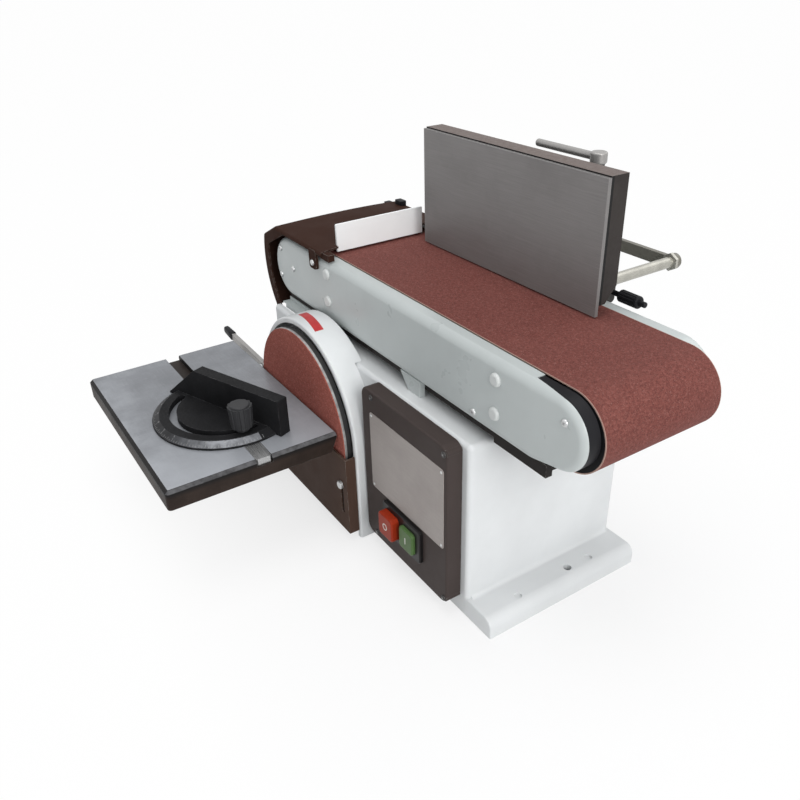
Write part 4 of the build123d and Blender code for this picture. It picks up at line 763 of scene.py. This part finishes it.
def on_scale(r, degrees, height):
    """Point on the mitre head's bevelled rim, by radius, angle and height above it."""
    pivot_x, pivot_y, rest_turn = -109, -241, 21.4
    rim_radius, rim_top, slope = 92.5, TABLE_TOP + 2.3, 0.6
    lean_out, lean_up = 0.5145, 0.8575
    a = math.radians(degrees + rest_turn)
    reach = r + lean_out * height
    z = rim_top + (rim_radius - r) * slope + lean_up * height
    return (pivot_x + reach * math.cos(a), pivot_y + reach * math.sin(a), z)


def scale_strip(mesh_data, r0, r1, a0, a1, low, high, steps):
    """Thin strip on the rim between two radii, two angles and two heights."""
    rings = []
    for i in range(steps + 1):
        a = a0 + (a1 - a0) * i / steps
        rings.append([on_scale(r, a, h) for r, h in ((r0, low), (r1, low), (r1, high), (r0, high))])
    sweep(mesh_data, rings)


def figure(text):
    """Thin outline mesh of a short number, centred, in millimetres."""
    curve = bpy.data.curves.new("figure", "FONT")
    curve.body = text
    curve.size = 3.0
    curve.align_x = "CENTER"
    curve.align_y = "CENTER"
    curve.extrude = 0.06
    curve.resolution_u = 2
    obj = link_object("figure", curve)
    mesh = bpy.data.meshes.new_from_object(obj.evaluated_get(bpy.context.evaluated_depsgraph_get()))
    bpy.data.objects.remove(obj)
    bpy.data.curves.remove(curve)
    return mesh


def mitre_scale():
    """Degree scale on the bevel: a plain band, division lines and figures."""
    middle = -90
    work = bmesh.new()
    scale_strip(work, 83.4, 91.8, middle - 73, middle + 73, -0.1, 0.15, 73)
    smooth(piece("mitre_scale_band", work, "mitre_protractor", scale_material()))

    line_end, line_half = 91.4, 0.11
    line_starts = {15.0: 87.2, 5.0: 88.4, 2.5: 89.6}
    work = bmesh.new()
    for step in range(-30, 31):
        degrees = 2.5 * step
        start = next(r for unit, r in line_starts.items() if degrees % unit == 0)
        angle = middle + degrees
        scale_strip(work, start, line_end, angle - line_half, angle + line_half, 0.1, 0.22, 1)

    figure_radius, figure_height = 85.4, 0.16
    for degrees in range(-60, 61, 15):
        mesh = figure(str(abs(degrees)))
        first = len(work.verts)
        work.from_mesh(mesh)
        bpy.data.meshes.remove(mesh)
        work.verts.ensure_lookup_table()
        for vert in work.verts[first:]:
            u, v, w = vert.co
            angle = middle + degrees + math.degrees(u / figure_radius)
            vert.co = Vector(on_scale(figure_radius - v, angle, figure_height + w)) * MM
    bmesh.ops.remove_doubles(work, verts=work.verts[:], dist=0.002 * MM)
    bmesh.ops.recalc_face_normals(work, faces=work.faces[:])
    piece("mitre_scale_marks", work, "mitre_protractor", SCALE_MARK)


def button_marks():
    """On and off signs on the push buttons."""
    start_face, stop_face, sign_z = -140.3, -146.0, 69
    start_x, half_width, half_height = 147, 0.8, 4.5
    work = bmesh.new()
    bar = rounded(-half_width, half_width, -half_height, half_height, 0.5, 3)
    prism(work, bar, facing(start_face, start_x, sign_z), 0.35)
    smooth(piece("start_sign", work, "start_key", MARK_WHITE))

    stop_x = 112
    hoop = ((4.6, -0.2), (4.6, 0.15), (3.3, 0.15), (3.3, -0.2))
    work = bmesh.new()
    sweep(work, turned_rings(hoop, facing(stop_face, stop_x, sign_z), 40), closed=True)
    smooth(piece("stop_sign", work, "stop_key", MARK_WHITE))


camera()
studio()
data_plate()
guard_label()
slot_strips()
lever_grip()
rod_nuts()
hood_buffers()
chip_shield()
screw_recesses()
mitre_scale()
button_marks()
